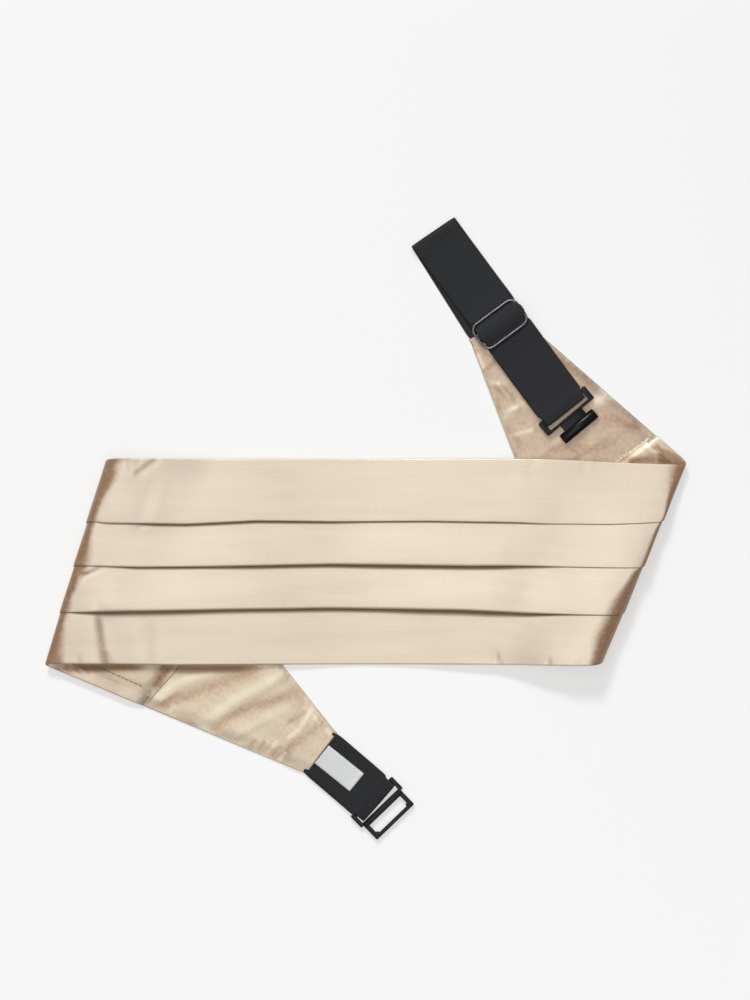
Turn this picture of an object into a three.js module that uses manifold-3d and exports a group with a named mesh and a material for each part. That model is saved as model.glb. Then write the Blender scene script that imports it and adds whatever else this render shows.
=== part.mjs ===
// A pleated satin cummerbund that lies flat on its back, with both ends folded under.
// The front is one pleated band with three downward mouths. At each side it rolls over and
// goes back beneath itself, where a plain tapered wing is sewn on. A black elastic strap
// leaves each wing: the left one holds a loop clasp, the right one runs out, folds back on
// itself through a wire slider and holds the hook clasp that fits the loop.
// Millimetres, +Z up, the surface it lies on is z = 0.

import * as THREE from 'three';
import { mergeVertices } from 'three/addons/utils/BufferGeometryUtils.js';
import Module from 'manifold-3d';

const wasm = await Module();
wasm.setup();

// Cloth and clearances
const CLOTH = 1.0;
const GAP = 0.3;
const ELASTIC = 1.0;

// The pleated front
const PANEL_WIDTH = 123;
const HEM = 6.6;
const LAYERS_IN_A_PLEAT = 3;

// One row for each pleat, in shares of the panel's width: the place of its mouth below the top
// edge, how far the cloth laps back under it, and how far it rises before the lap
const PLEATS = [
  { mouth: 0.305, lap: 0.13, rise: 0.073 },
  { mouth: 0.517, lap: 0.13, rise: 0.073 },
  { mouth: 0.737, lap: 0.13, rise: 0.073 },
];

// Places where the lowest mouth stands open: centre and half length as shares of the reach
// from the middle to the fold, and how far the folded edge is lifted
const GAPES = [
  { end: 'left', centre: 0.75, half: 0.24, lift: 1.6 },
  { end: 'right', centre: 0.4, half: 0.34, lift: 2.4 },
];

// The two ends. Each is drawn with x running out from the middle of the panel and y towards
// the corner where the roll is tight, so the left end is the right one turned half round.
// reach: middle to fold; lean: how far the fold line leans; tight and loose: roll radii at
// its two corners; droop: how far the tight edge sinks in at the fold; back: length of
// pleated panel beyond the fold; wing: length from the seam to the tip; rise: how far the
// tip lies off the middle line; tightTaper and looseTaper: where each edge starts to taper,
// measured from the fold; strapTurn: heading of the strap against that of the wing.
const LEFT = {
  side: -1, reach: 168.6, lean: 18.35, tight: 3.2, loose: 6.8, droop: 0.8,
  back: 98.7, wing: 96.1, rise: 18.9, tightTaper: 27, looseTaper: 18, strapTurn: 3.3,
};
const RIGHT = {
  side: 1, reach: 160.8, lean: 25.5, tight: 3.2, loose: 9.0, droop: 3.5,
  back: 70.5, wing: 105.5, rise: 37.1, tightTaper: 30, looseTaper: 7.6, strapTurn: 2.6,
};
const DROOP_LENGTH = 100;
const SEAM_LEAN = 10;
const ROLL_EASE = 60;
const SINK_LENGTH = 60;
const SEAM_COVER = 8;

// Wings and their pockets for the straps
const WING_THICKNESS = 2.3;
const WING_DENT = 0.7;
const POCKET_DEPTH = 12;
const POCKET_RAMP = 6;
const STRAP_WIDTH = 31.2;
const STRAP_WAIST = 28.4;
const SLIDER_WAIST = 26;
const STRAP_SLOPE = 12;
const WAIST_SLOPE = 4;
const STRAP_BULGE = 6.4;
const BAR_LIFT = 0.8;

// The left strap, its label and the loop clasp
const LEFT_STRAP_LENGTH = 41;
const LEFT_RETURN = 26;
const LABEL_LENGTH = 27;
const LABEL_WIDTH = 13.6;
const LABEL_THICKNESS = 1.0;
const LABEL_FROM_WING = 1.2;

// The right strap, its slider and the hook clasp
const RUN_OUT = 67.2;
const RUN_BACK = 129.1;
const RUN_BACK_TURN = 4.3;
const FOLD_LOOP_RADIUS = 1.5;
const FOLD_LOOP_LENGTH = 3;
const SLIDER_FROM_FOLD = 68.4;
const SLIDER_ASIDE = 0.9;
const SLIDER_WIDTH = 33.1;
const SLIDER_LENGTH = 18.8;
const SLIDER_CORNER = 4.8;
const WIRE = 1.6;

// Both clasps are moulded plates with a recessed bar that the strap turns round
const PLATE = 3.0;
const STRAP_BAR = 3.0;
const STRAP_BAR_THICKNESS = 1.6;
const SLOT_WIDTH = 29.4;
const LOOP_CLASP_TURN = 5.54;
const LOOP_SHOULDER_WIDTH = 34.5;
const LOOP_SHOULDER_LENGTH = 9.5;
const LOOP_WIDTH = 30.9;
const LOOP_LENGTH = 21.2;
const LOOP_SLOT_END = 8.0;
const WINDOW_START = 11.8;
const WINDOW_LENGTH = 7.1;
const WINDOW_WIDTH = 25.4;
const WINDOW_BOSS = 1.5;
const RIB_HEIGHT = 0.5;
const HOOK_CLASP_TURN = 3.5;
const HOOK_PLATE_WIDTH = 36;
const HOOK_PLATE_LENGTH = 9.4;
const HOOK_SLOT_END = 7.7;
const NECK_WIDTH = 16.7;
const NECK_LENGTH = 4.0;
const NECK_THICKNESS = 2.0;
const HOOK_BAR_WIDTH = 25.4;
const HOOK_BAR_LENGTH = 6.5;
const HOOK_BAR_THICKNESS = 3.4;
const HOOK_BAR_SIDES = 8;

// Steps of the faceted shapes
const ROLL_STEPS = 8;
const FRONT_STEPS = 7;
const BACK_STEPS = 3;
const WING_STEPS = 14;
const ACROSS_STEPS = 8;
const WIRE_SIDES = 8;
const CORNER_STEPS = 5;
const MOUTH_STEPS = 3;

// Heights that follow from the cloth
const LEVEL = CLOTH + GAP;
const TOP_LEVEL = LAYERS_IN_A_PLEAT * LEVEL;
const PANEL_THICKNESS = TOP_LEVEL + CLOTH;
const HALF_WIDTH = PANEL_WIDTH / 2;
const CLEAR_OF_BACK = PANEL_THICKNESS + 1.7 * GAP;
const POCKET_FLOOR = CLOTH;
const STRAP_FLOOR = CLOTH + GAP;
const POCKET_ROOF = STRAP_FLOOR + ELASTIC + GAP;
const TIP_THICKNESS = POCKET_ROOF + CLOTH;

const radians = (degrees) => (degrees * Math.PI) / 180;
const lerp = (a, b, t) => a + (b - a) * t;
const clamp01 = (t) => Math.min(1, Math.max(0, t));
const ease = (t) => clamp01(t) ** 2 * (3 - 2 * clamp01(t));

const SATIN = { color: 0xddccb3, roughness: 0.38, metalness: 0.15 };
const satin = () => new THREE.MeshStandardMaterial(SATIN);
const elastic = () => new THREE.MeshStandardMaterial({ color: 0x2d2e30, roughness: 0.9, metalness: 0 });
const plastic = () => new THREE.MeshStandardMaterial({ color: 0x1b1b1e, roughness: 0.35, metalness: 0 });
const steel = () => new THREE.MeshStandardMaterial({ color: 0xa8a8a8, roughness: 0.35, metalness: 1 });
const taffeta = () => new THREE.MeshStandardMaterial({ color: 0xdddfdf, roughness: 0.6, metalness: 0 });

// The roll at one end is part of a cone, so cloth that rolls over it keeps its length. The
// fold line passes through (reach, 0) and the cone's point lies on it, beyond the tight corner.
function makeEnd(size) {
  const lean = radians(size.lean);
  const along = new THREE.Vector2(Math.sin(lean), Math.cos(lean));
  const out = new THREE.Vector2(Math.cos(lean), -Math.sin(lean));
  const foldX = (y) => size.reach + y * Math.tan(lean);
  const slope = (size.loose - size.tight) / (PANEL_WIDTH / Math.cos(lean));
  const tightCorner = new THREE.Vector2(foldX(HALF_WIDTH), HALF_WIDTH);
  const point = tightCorner.clone().addScaledVector(along, size.tight / slope);
  const turn = Math.PI * slope;
  const tipX = size.reach + size.back + size.wing;
  const heading = Math.atan2(size.rise, size.back + size.wing);
  const tipY = size.rise;

  const polar = (x, y) => {
    const rel = new THREE.Vector2(x, y).sub(point);
    const a = -rel.dot(along);
    const b = rel.dot(out);
    return { rho: Math.hypot(a, b), theta: Math.atan2(b, a) };
  };
  const place = (rho, theta) => point.clone()
    .addScaledVector(along, -rho * Math.cos(theta))
    .addScaledVector(out, rho * Math.sin(theta));
  const radiusAt = (y) => slope * point.distanceTo(new THREE.Vector2(foldX(y), y));

  // Plan position of a point of the cloth once it lies underneath
  const under = (x, y) => {
    const { rho, theta } = polar(x, y);
    return place(rho, turn - theta);
  };
  // Where the ruling at an angle of the roll meets a line of constant y
  const rulingX = (theta, y) => {
    const rise = -along.y * Math.cos(theta) + out.y * Math.sin(theta);
    return place((y - point.y) / rise, theta).x;
  };
  const tipSlant = Math.tan(heading) * STRAP_WIDTH / 2;
  const taper = (x, from, to) => clamp01((x - size.reach - from) / (to - size.reach - from));
  const droop = (x) => size.droop * ease((x - size.reach - HALF_WIDTH / 2 + DROOP_LENGTH) / DROOP_LENGTH);
  const tightEdge = (x) => lerp(
    HALF_WIDTH - droop(x), tipY + STRAP_WIDTH / 2, taper(x, size.tightTaper, tipX - tipSlant));
  const looseEdge = (x) => lerp(
    -HALF_WIDTH, tipY - STRAP_WIDTH / 2, taper(x, size.looseTaper, tipX + tipSlant));
  return { ...size, foldX, turn, polar, place, slope, out, radiusAt, under, rulingX,
    tightEdge, looseEdge, tipX, tipY, tipSlant, heading };
}

const ends = { left: makeEnd(LEFT), right: makeEnd(RIGHT) };
const endAt = (x) => (x < 0 ? ends.left : ends.right);

// Height of the front's underside above the floor. It comes off each roll, clears the panel
// and the wing that lie beneath it, and sinks to the floor in the middle.
function underside(end, x, y) {
  const inward = end.foldX(y) - x;
  const roll = 2 * end.radiusAt(y) - CLEAR_OF_BACK;
  const overBack = CLEAR_OF_BACK + roll * ease(1 - inward / ROLL_EASE);
  return overBack * (1 - ease((inward - 1.1 * end.back) / SINK_LENGTH));
}

// Lays a point of the flat panel: (x, y) on the cloth, h above its underside
function lay(x, y, h) {
  const end = endAt(x);
  const [ex, ey] = [x * end.side, y * end.side];
  const { rho, theta } = end.polar(ex, ey);
  const middle = PANEL_THICKNESS / 2;
  let plan;
  let z;
  if (theta <= 0) {
    plan = new THREE.Vector2(ex, ey);
    z = underside(end, ex, ey) + h;
  } else if (theta < end.turn) {
    const radius = end.slope * rho;
    const phi = (Math.PI * theta) / end.turn;
    const offset = radius + h - middle;
    plan = end.place(rho, 0).addScaledVector(end.out, offset * Math.sin(phi));
    z = middle + radius + offset * Math.cos(phi);
  } else {
    plan = end.place(rho, end.turn - theta);
    z = PANEL_THICKNESS - h;
  }
  return new THREE.Vector3(plan.x * end.side, plan.y * end.side, z);
}

// A point of a wing or strap: end coordinates of the flat cloth and a height above the floor
function layUnder(end, x, y, z) {
  const plan = end.under(x, y);
  return new THREE.Vector3(plan.x * end.side, plan.y * end.side, z);
}

// Makes a closed body from rings of points, with flat caps cut from the outline (u, v)
function loft(rings, capOutline) {
  const count = rings[0].length;
  const positions = rings.flat().flatMap((p) => [p.x, p.y, p.z]);
  const faces = [];
  for (let i = 0; i + 1 < rings.length; i += 1) {
    for (let j = 0; j < count; j += 1) {
      const a = i * count + j;
      const b = i * count + ((j + 1) % count);
      faces.push(a, b, b + count, a, b + count, a + count);
    }
  }
  const last = (rings.length - 1) * count;
  const contour = capOutline.map(([u, v]) => new THREE.Vector2(u, v));
  const winding = THREE.ShapeUtils.isClockWise(contour) ? 1 : -1;
  for (const [a, b, c] of THREE.ShapeUtils.triangulateShape(contour, [])) {
    const turned = winding > 0 ? [a, b, c] : [a, c, b];
    faces.push(turned[0], turned[1], turned[2]);
    faces.push(last + turned[2], last + turned[1], last + turned[0]);
  }
  const geometry = new THREE.BufferGeometry();
  geometry.setAttribute('position', new THREE.Float32BufferAttribute(positions, 3));
  geometry.setIndex(faces);
  return faceOutwards(geometry);
}

// Turns every face over if the body's volume comes out negative
function faceOutwards(geometry) {
  const p = geometry.attributes.position;
  const index = geometry.index.array;
  let volume = 0;
  const [a, b, c] = [new THREE.Vector3(), new THREE.Vector3(), new THREE.Vector3()];
  for (let i = 0; i < index.length; i += 3) {
    a.fromBufferAttribute(p, index[i]);
    b.fromBufferAttribute(p, index[i + 1]);
    c.fromBufferAttribute(p, index[i + 2]);
    volume += a.dot(b.cross(c));
  }
  if (volume < 0) {
    for (let i = 0; i < index.length; i += 3) {
      [index[i + 1], index[i + 2]] = [index[i + 2], index[i + 1]];
    }
  }
  return geometry;
}

// Two stages between three.js geometry and a manifold solid
function solid(geometry) {
  const bare = geometry.clone();
  bare.deleteAttribute('normal');
  bare.deleteAttribute('uv');
  const merged = mergeVertices(bare, 1e-4);
  return new wasm.Manifold(new wasm.Mesh({
    numProp: 3,
    vertProperties: new Float32Array(merged.attributes.position.array),
    triVerts: new Uint32Array(merged.index.array),
  }));
}

function fromSolid(manifold) {
  const mesh = manifold.getMesh();
  const geometry = new THREE.BufferGeometry();
  geometry.setAttribute('position', new THREE.Float32BufferAttribute(mesh.vertProperties, 3));
  geometry.setIndex(Array.from(mesh.triVerts));
  return geometry;
}

function named(name, geometry, material) {
  const mesh = new THREE.Mesh(geometry, material);
  mesh.name = name;
  return mesh;
}

// Thickens an open line into a closed outline, mitred at its corners
function thicken(line, thickness) {
  const half = thickness / 2;
  const sideOf = (sign) => line.map((point, i) => {
    const before = line[Math.max(i - 1, 0)];
    const after = line[Math.min(i + 1, line.length - 1)];
    const d1 = new THREE.Vector2(point[0] - before[0], point[1] - before[1]).normalize();
    const d2 = new THREE.Vector2(after[0] - point[0], after[1] - point[1]).normalize();
    if (i === 0) d1.copy(d2);
    if (i === line.length - 1) d2.copy(d1);
    const tangent = d1.clone().add(d2).normalize();
    const reach = half / Math.max(tangent.dot(d1), 0.5);
    return [point[0] - sign * tangent.y * reach, point[1] + sign * tangent.x * reach];
  });
  return [...sideOf(1), ...sideOf(-1).reverse()];
}

// Half a turn of cloth between two levels, bulging towards +u or -u
function halfTurn(u, from, to, bulge, steps) {
  const radius = Math.abs(to - from) / 2;
  const centre = u - bulge * radius;
  const middle = (from + to) / 2;
  return Array.from({ length: steps + 1 }, (_, i) => {
    const angle = (Math.PI * i) / steps;
    return [centre + bulge * radius * Math.sin(angle), middle + ((from - to) / 2) * Math.cos(angle)];
  });
}

const levelHeight = (level) => CLOTH / 2 + level * LEVEL;

function gapeLift(x) {
  return GAPES.reduce((sum, gape) => {
    const end = ends[gape.end];
    const away = Math.abs(x * end.side - gape.centre * end.reach) / (gape.half * end.reach);
    return sum + gape.lift * ease(1 - away);
  }, 0);
}

// The cloth's line across the panel at one station: u below the top edge, v above the underside
function pleatLine(width, x) {
  const skin = CLOTH / 2;
  const [lining, base, top] = [levelHeight(0), levelHeight(1), levelHeight(LAYERS_IN_A_PLEAT)];
  const between = levelHeight(2);
  const line = [[HEM, lining], ...halfTurn(skin, lining, base, -1, 2)];
  PLEATS.forEach((pleat, i) => {
    const [edge, lap, rise] = [pleat.mouth, pleat.lap, pleat.rise].map((share) => share * width);
    const lift = i === PLEATS.length - 1 ? gapeLift(x) : 0;
    line.push([edge - lap - rise, base]);
    line.push([edge - lap, top]);
    line.push(...halfTurn(edge, top + lift, between + lift, 1, MOUTH_STEPS));
    line.push(...halfTurn(edge - lap, between, base, -1, 2));
    line.push([edge, base]);
  });
  line.push([(PLEATS[PLEATS.length - 1].mouth * width + width) / 2, base]);
  line.push([width - HEM, base]);
  line.push(...halfTurn(width - skin, base, lining, 1, 2));
  line.push([width - HEM, lining]);
  return line;
}

// Stations along one end, from the fold line out to the seam: x on the tight and loose edges
function endStations(end) {
  const stations = [];
  for (let i = 0; i <= ROLL_STEPS; i += 1) {
    const theta = (end.turn * i) / ROLL_STEPS;
    stations.push([end.rulingX(theta, HALF_WIDTH), end.rulingX(theta, -HALF_WIDTH)]);
  }
  const [tight, loose] = stations[stations.length - 1];
  const seam = seamStation(end);
  for (let i = 1; i <= BACK_STEPS; i += 1) {
    stations.push([lerp(tight, seam[0], i / BACK_STEPS), lerp(loose, seam[1], i / BACK_STEPS)]);
  }
  return stations;
}

function seamStation(end) {
  const seamX = end.reach + end.back;
  const slant = Math.tan(radians(SEAM_LEAN));
  return [seamX - end.tightEdge(seamX) * slant, seamX - end.looseEdge(seamX) * slant];
}

// All stations of the panel from the left seam to the right one, as points on its two edges
function panelStations() {
  const pairs = { left: endStations(ends.left), right: endStations(ends.right) };
  const topX = (end, pair) => (end.side > 0 ? pair[0] : -pair[1]);
  const bottomX = (end, pair) => (end.side > 0 ? pair[1] : -pair[0]);
  const row = [];
  const add = (end, pair) => row.push([topX(end, pair), bottomX(end, pair)]);
  [...pairs.left].reverse().forEach((pair) => add(ends.left, pair));
  for (let i = FRONT_STEPS - 1; i > 0; i -= 1) {
    add(ends.left, pairs.left[0].map((x) => (x * i) / FRONT_STEPS));
  }
  for (let i = 0; i < FRONT_STEPS; i += 1) {
    add(ends.right, pairs.right[0].map((x) => (x * i) / FRONT_STEPS));
  }
  pairs.right.forEach((pair) => add(ends.right, pair));
  return row.map(stationOf);
}

const panelTop = (x) => (x < 0 ? -ends.left.looseEdge(-x) : ends.right.tightEdge(x));
const panelBottom = (x) => (x < 0 ? -ends.left.tightEdge(-x) : ends.right.looseEdge(x));

function stationOf([topX, bottomX]) {
  const top = panelTop(topX);
  const bottom = panelBottom(bottomX);
  return { topX, bottomX, top, width: top - bottom, x: (topX + bottomX) / 2 };
}

// Moves an outline of (u below the top edge, h above the underside) onto a station
function layOutline(station, outline) {
  return outline.map(([u, h]) => {
    const x = lerp(station.topX, station.bottomX, u / station.width);
    return lay(x, station.top - u, h);
  });
}

function makePleats() {
  const stations = panelStations();
  const outlines = stations.map((s) => thicken(pleatLine(s.width, s.x), CLOTH));
  const rings = stations.map((s, i) => layOutline(s, outlines[i]));
  return loft(rings, outlines[0]);
}

// The lining closes the back between the two turned hems, and runs a little way over each wing
function makeLining() {
  const across = (width, lift) => {
    const from = HEM + GAP;
    const to = width - HEM - GAP;
    const share = Array.from({ length: ACROSS_STEPS + 1 }, (_, i) => lerp(from, to, i / ACROSS_STEPS));
    return [...share.map((u) => [u, lift]), ...share.reverse().map((u) => [u, lift + CLOTH])];
  };
  const stations = panelStations();
  const sunk = PANEL_THICKNESS - CLOTH - WING_THICKNESS - GAP;
  const overWing = (station, share) => {
    const shift = SEAM_COVER * share * Math.sign(station.x);
    return stationOf([station.topX + shift, station.bottomX + shift]);
  };
  const rows = stations.map((s) => ({ station: s, lift: 0 }));
  const first = stations[0];
  const last = stations[stations.length - 1];
  rows.unshift({ station: overWing(first, 0.5), lift: sunk });
  rows.unshift({ station: overWing(first, 1), lift: sunk });
  rows.push({ station: overWing(last, 0.5), lift: sunk });
  rows.push({ station: overWing(last, 1), lift: sunk });
  const outlines = rows.map(({ station, lift }) => across(station.width, lift));
  const rings = rows.map(({ station }, i) => layOutline(station, outlines[i]));
  return loft(rings, outlines[0]);
}

// A wing: two pressed layers of satin, wider at the seam, with an open pocket at its tip that
// takes the end of the strap
function makeWing(end) {
  const seam = seamStation(end);
  const tip = [end.tipX - end.tipSlant, end.tipX + end.tipSlant];
  const rings = [];
  let outline;
  for (let i = 0; i <= WING_STEPS; i += 1) {
    const t = i / WING_STEPS;
    const pair = [lerp(seam[0] + GAP, tip[0], t), lerp(seam[1] + GAP, tip[1], t)];
    const tightY = end.tightEdge(pair[0]);
    const looseY = end.looseEdge(pair[1]);
    const at = (s) => [lerp(pair[0], pair[1], s), lerp(tightY, looseY, s)];
    const shares = Array.from({ length: ACROSS_STEPS + 1 }, (_, j) => j / ACROSS_STEPS);
    const top = shares.map((s) => {
      const [x, y] = at(s);
      const toTip = end.tipX - x;
      const swell = (TIP_THICKNESS - WING_THICKNESS) * ease((POCKET_DEPTH + POCKET_RAMP - toTip) / POCKET_RAMP);
      return layUnder(end, x, y, WING_THICKNESS + swell - wingDent(toTip, s));
    });
    const bottom = [...shares].reverse().map((s) => layUnder(end, ...at(s), 0));
    rings.push([...top, ...bottom]);
    outline = [...shares.map((s) => [s, 1]), ...[...shares].reverse().map((s) => [s, 0])];
  }
  const wing = solid(loft(rings, outline));
  return fromSolid(wing.subtract(makePocket(end)));
}

// Shallow slanting dents of a pressed wing, none of them near the strap pocket or the edges
function wingDent(toTip, share) {
  const wave = Math.sin(radians(6.5 * toTip + 150 * share)) ** 2;
  const away = ease((toTip - POCKET_DEPTH - POCKET_RAMP) / POCKET_DEPTH);
  return WING_DENT * wave * away * Math.sin(Math.PI * share);
}

function makePocket(end) {
  const spare = STRAP_WIDTH / 2 + POCKET_DEPTH;
  const corner = (along, across, z) => {
    const [c, s] = [Math.cos(end.heading), Math.sin(end.heading)];
    return layUnder(end, end.tipX + along * c - across * s, end.tipY + along * s + across * c, z);
  };
  const ring = (along) => [
    corner(along, spare, POCKET_FLOOR), corner(along, -spare, POCKET_FLOOR),
    corner(along, -spare, POCKET_ROOF), corner(along, spare, POCKET_ROOF),
  ];
  return solid(loft([ring(-POCKET_DEPTH), ring(POCKET_DEPTH)], [[0, 0], [1, 0], [1, 1], [0, 1]]));
}

// Carries a strap along a route. Each row gives the distance along the route, the height of
// the strap's middle, its width, and the distance at which its cross line stands.
function makeStrap(toFloor, route, thickness) {
  const line = thicken(route.map((p) => [p.s, p.z]), thickness);
  const count = route.length;
  const rings = [];
  for (let i = 0; i < count; i += 1) {
    const upper = line[i];
    const lower = line[2 * count - 1 - i];
    const half = route[i].width / 2;
    const skew = Math.tan(radians(route[i].skew ?? 0));
    const corner = ([s, z], across) => toFloor(s + across * skew, across, z);
    rings.push([corner(upper, half), corner(upper, -half), corner(lower, -half), corner(lower, half)]);
  }
  return loft(rings, [[0, 1], [1, 1], [1, 0], [0, 0]]);
}

// Coordinates along a straight run of strap: start and heading in end coordinates
function strapFrame(end, x, y, heading) {
  const [c, s] = [Math.cos(heading), Math.sin(heading)];
  return (along, across, z) => layUnder(end, x + along * c - across * s, y + along * s + across * c, z);
}

const STRAP_MIDDLE = STRAP_FLOOR + ELASTIC / 2;

// The turn round a clasp's bar: over it, down through the slot and back beneath
function barTurn(start, barFloor, width, skew) {
  const over = barFloor + STRAP_BAR_THICKNESS + GAP + ELASTIC / 2;
  const beneath = barFloor - GAP - ELASTIC / 2;
  const far = STRAP_BAR + GAP + ELASTIC / 2;
  const middle = (over + beneath) / 2;
  const bend = ELASTIC / 2 + GAP;
  const rows = [
    [-0.5, over], [far - bend, over], [far, over - bend], [far, middle],
    [far, beneath + bend], [far - bend, beneath], [-0.5, beneath],
  ];
  return rows.map(([a, z]) => ({ s: start + a, z, width, skew }));
}

function makeLeftStrap(end) {
  const frame = strapFrame(end, end.tipX, end.tipY, end.heading + radians(end.strapTurn));
  const barFloor = ELASTIC + GAP;
  const route = [
    { s: -POCKET_DEPTH + GAP, z: STRAP_MIDDLE, width: STRAP_WIDTH, skew: end.strapTurn },
    { s: 0, z: STRAP_MIDDLE, width: STRAP_WIDTH },
    { s: LEFT_STRAP_LENGTH - STRAP_SLOPE, z: STRAP_MIDDLE, width: STRAP_WIDTH },
    { s: LEFT_STRAP_LENGTH - WAIST_SLOPE, z: STRAP_MIDDLE + BAR_LIFT, width: STRAP_WIDTH },
    ...barTurn(LEFT_STRAP_LENGTH, barFloor, STRAP_WAIST, -LOOP_CLASP_TURN),
    { s: LEFT_STRAP_LENGTH - STRAP_SLOPE / 2, z: ELASTIC / 2, width: STRAP_WAIST },
    { s: LEFT_STRAP_LENGTH - LEFT_RETURN, z: ELASTIC / 2, width: STRAP_WAIST },
  ];
  return makeStrap(frame, route, ELASTIC);
}

function makeLabel(end) {
  const frame = strapFrame(end, end.tipX, end.tipY, end.heading + radians(end.strapTurn) / 2);
  const floor = STRAP_FLOOR + ELASTIC + GAP;
  const half = LABEL_WIDTH / 2;
  const ring = (s) => [
    frame(s, half, floor), frame(s, -half, floor),
    frame(s, -half, floor + LABEL_THICKNESS), frame(s, half, floor + LABEL_THICKNESS),
  ];
  return loft([ring(LABEL_FROM_WING), ring(LABEL_FROM_WING + LABEL_LENGTH)], [[0, 0], [1, 0], [1, 1], [0, 1]]);
}

// A plate in clasp coordinates: a runs away from the strap, c across, z up from its underside
function plate(outline, holes, thickness, floor = 0) {
  const shape = new THREE.Shape(outline.map(([a, c]) => new THREE.Vector2(a, c)));
  shape.holes = holes.map((hole) => new THREE.Path(hole.map(([a, c]) => new THREE.Vector2(a, c))));
  const geometry = new THREE.ExtrudeGeometry(shape, { depth: thickness, bevelEnabled: false });
  return solid(geometry.translate(0, 0, floor));
}

const rectangle = (a0, a1, half) => [[a0, -half], [a1, -half], [a1, half], [a0, half]];

// Cuts a plate's first bar down to the recessed bar that the strap turns round
function recessBar(body) {
  const room = SLOT_WIDTH / 2;
  const low = plate(rectangle(-1, STRAP_BAR + GAP, room), [], PLATE, -PLATE + ELASTIC + GAP);
  const high = plate(rectangle(-1, STRAP_BAR + GAP, room), [], PLATE,
    ELASTIC + GAP + STRAP_BAR_THICKNESS);
  return body.subtract(low).subtract(high);
}

function makeLoopClasp(end) {
  const shoulder = LOOP_SHOULDER_WIDTH / 2;
  const side = LOOP_WIDTH / 2;
  const half = WINDOW_WIDTH / 2;
  const [near, far] = [WINDOW_START, WINDOW_START + WINDOW_LENGTH];
  const outline = [
    [0, -shoulder], [LOOP_SHOULDER_LENGTH, -shoulder], [LOOP_SHOULDER_LENGTH, -side],
    [LOOP_LENGTH, -side], [LOOP_LENGTH, side], [LOOP_SHOULDER_LENGTH, side],
    [LOOP_SHOULDER_LENGTH, shoulder], [0, shoulder],
  ];
  const boss = (sign) => Array.from({ length: CORNER_STEPS }, (_, i) => {
    const angle = radians(lerp(0, 90, i / (CORNER_STEPS - 1)));
    return [far - WINDOW_BOSS * Math.cos(angle), sign * (half - WINDOW_BOSS * Math.sin(angle))];
  });
  const window = [
    [near, -half], ...boss(-1), ...boss(1).reverse(), [near, half],
  ];
  const slot = rectangle(STRAP_BAR, LOOP_SLOT_END, SLOT_WIDTH / 2);
  const rib = plate(rectangle(LOOP_SLOT_END + RIB_HEIGHT, near - RIB_HEIGHT, side), [], RIB_HEIGHT, PLATE);
  const body = recessBar(plate(outline, [slot, window], PLATE).add(rib));
  return seatClasp(body, end, end.tipX, end.tipY, end.heading + radians(end.strapTurn),
    LEFT_STRAP_LENGTH, LOOP_CLASP_TURN, 0);
}

function makeHookClasp(end) {
  const wide = HOOK_PLATE_WIDTH / 2;
  const slot = rectangle(STRAP_BAR, HOOK_SLOT_END, SLOT_WIDTH / 2);
  const body = plate(rectangle(0, HOOK_PLATE_LENGTH, wide), [slot], PLATE);
  const barStart = HOOK_PLATE_LENGTH + NECK_LENGTH;
  const neck = plate(rectangle(HOOK_PLATE_LENGTH - 1, barStart + 2, NECK_WIDTH / 2), [], NECK_THICKNESS);
  const profile = [[0, 0], [HOOK_BAR_LENGTH, 0], ...Array.from({ length: HOOK_BAR_SIDES - 1 }, (_, i) => {
    const angle = (Math.PI * i) / (HOOK_BAR_SIDES - 2);
    const r = HOOK_BAR_LENGTH / 2;
    return [r + r * Math.cos(angle), 1 + (HOOK_BAR_THICKNESS - 1) * Math.sin(angle)];
  })];
  const shape = new THREE.Shape(profile.map(([a, z]) => new THREE.Vector2(a, z)));
  const bar = new THREE.ExtrudeGeometry(shape, { depth: HOOK_BAR_WIDTH, bevelEnabled: false });
  bar.rotateX(Math.PI / 2).translate(barStart, HOOK_BAR_WIDTH / 2, 0);
  const whole = recessBar(body).add(neck).add(solid(bar));
  const frame = runBack(end);
  return seatClasp(whole, end, frame.x, frame.y, frame.heading, RUN_BACK, -HOOK_CLASP_TURN,
    WING_THICKNESS + GAP);
}

// Puts a clasp at a distance along a strap, turned a little against it, at a height
function seatClasp(body, end, x, y, heading, distance, turnDegrees, floor) {
  const turned = heading + radians(turnDegrees);
  const originX = x + distance * Math.cos(heading);
  const originY = y + distance * Math.sin(heading);
  const frame = strapFrame(end, originX, originY, turned);
  const geometry = fromSolid(body);
  const p = geometry.attributes.position;
  for (let i = 0; i < p.count; i += 1) {
    const at = frame(p.getX(i), p.getY(i), p.getZ(i) + floor);
    p.setXYZ(i, at.x, at.y, at.z);
  }
  return faceOutwards(geometry);
}

// The run back from the strap's fold to the hook clasp, in end coordinates
function runBack(end) {
  const out = end.heading + radians(end.strapTurn);
  const x = end.tipX + RUN_OUT * Math.cos(out);
  const y = end.tipY + RUN_OUT * Math.sin(out);
  return { x, y, heading: out + Math.PI - radians(RUN_BACK_TURN) };
}

const sliderRing = () => {
  const half = SLIDER_LENGTH / 2 - WIRE / 2;
  const overTip = TIP_THICKNESS + 2 * (GAP + ELASTIC) + GAP + WIRE / 2;
  const overRun = STRAP_FLOOR + ELASTIC + 2 * GAP + ELASTIC + WIRE / 2;
  return { half, near: overTip, far: overRun, middle: (overTip + overRun) / 2 };
};

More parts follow.
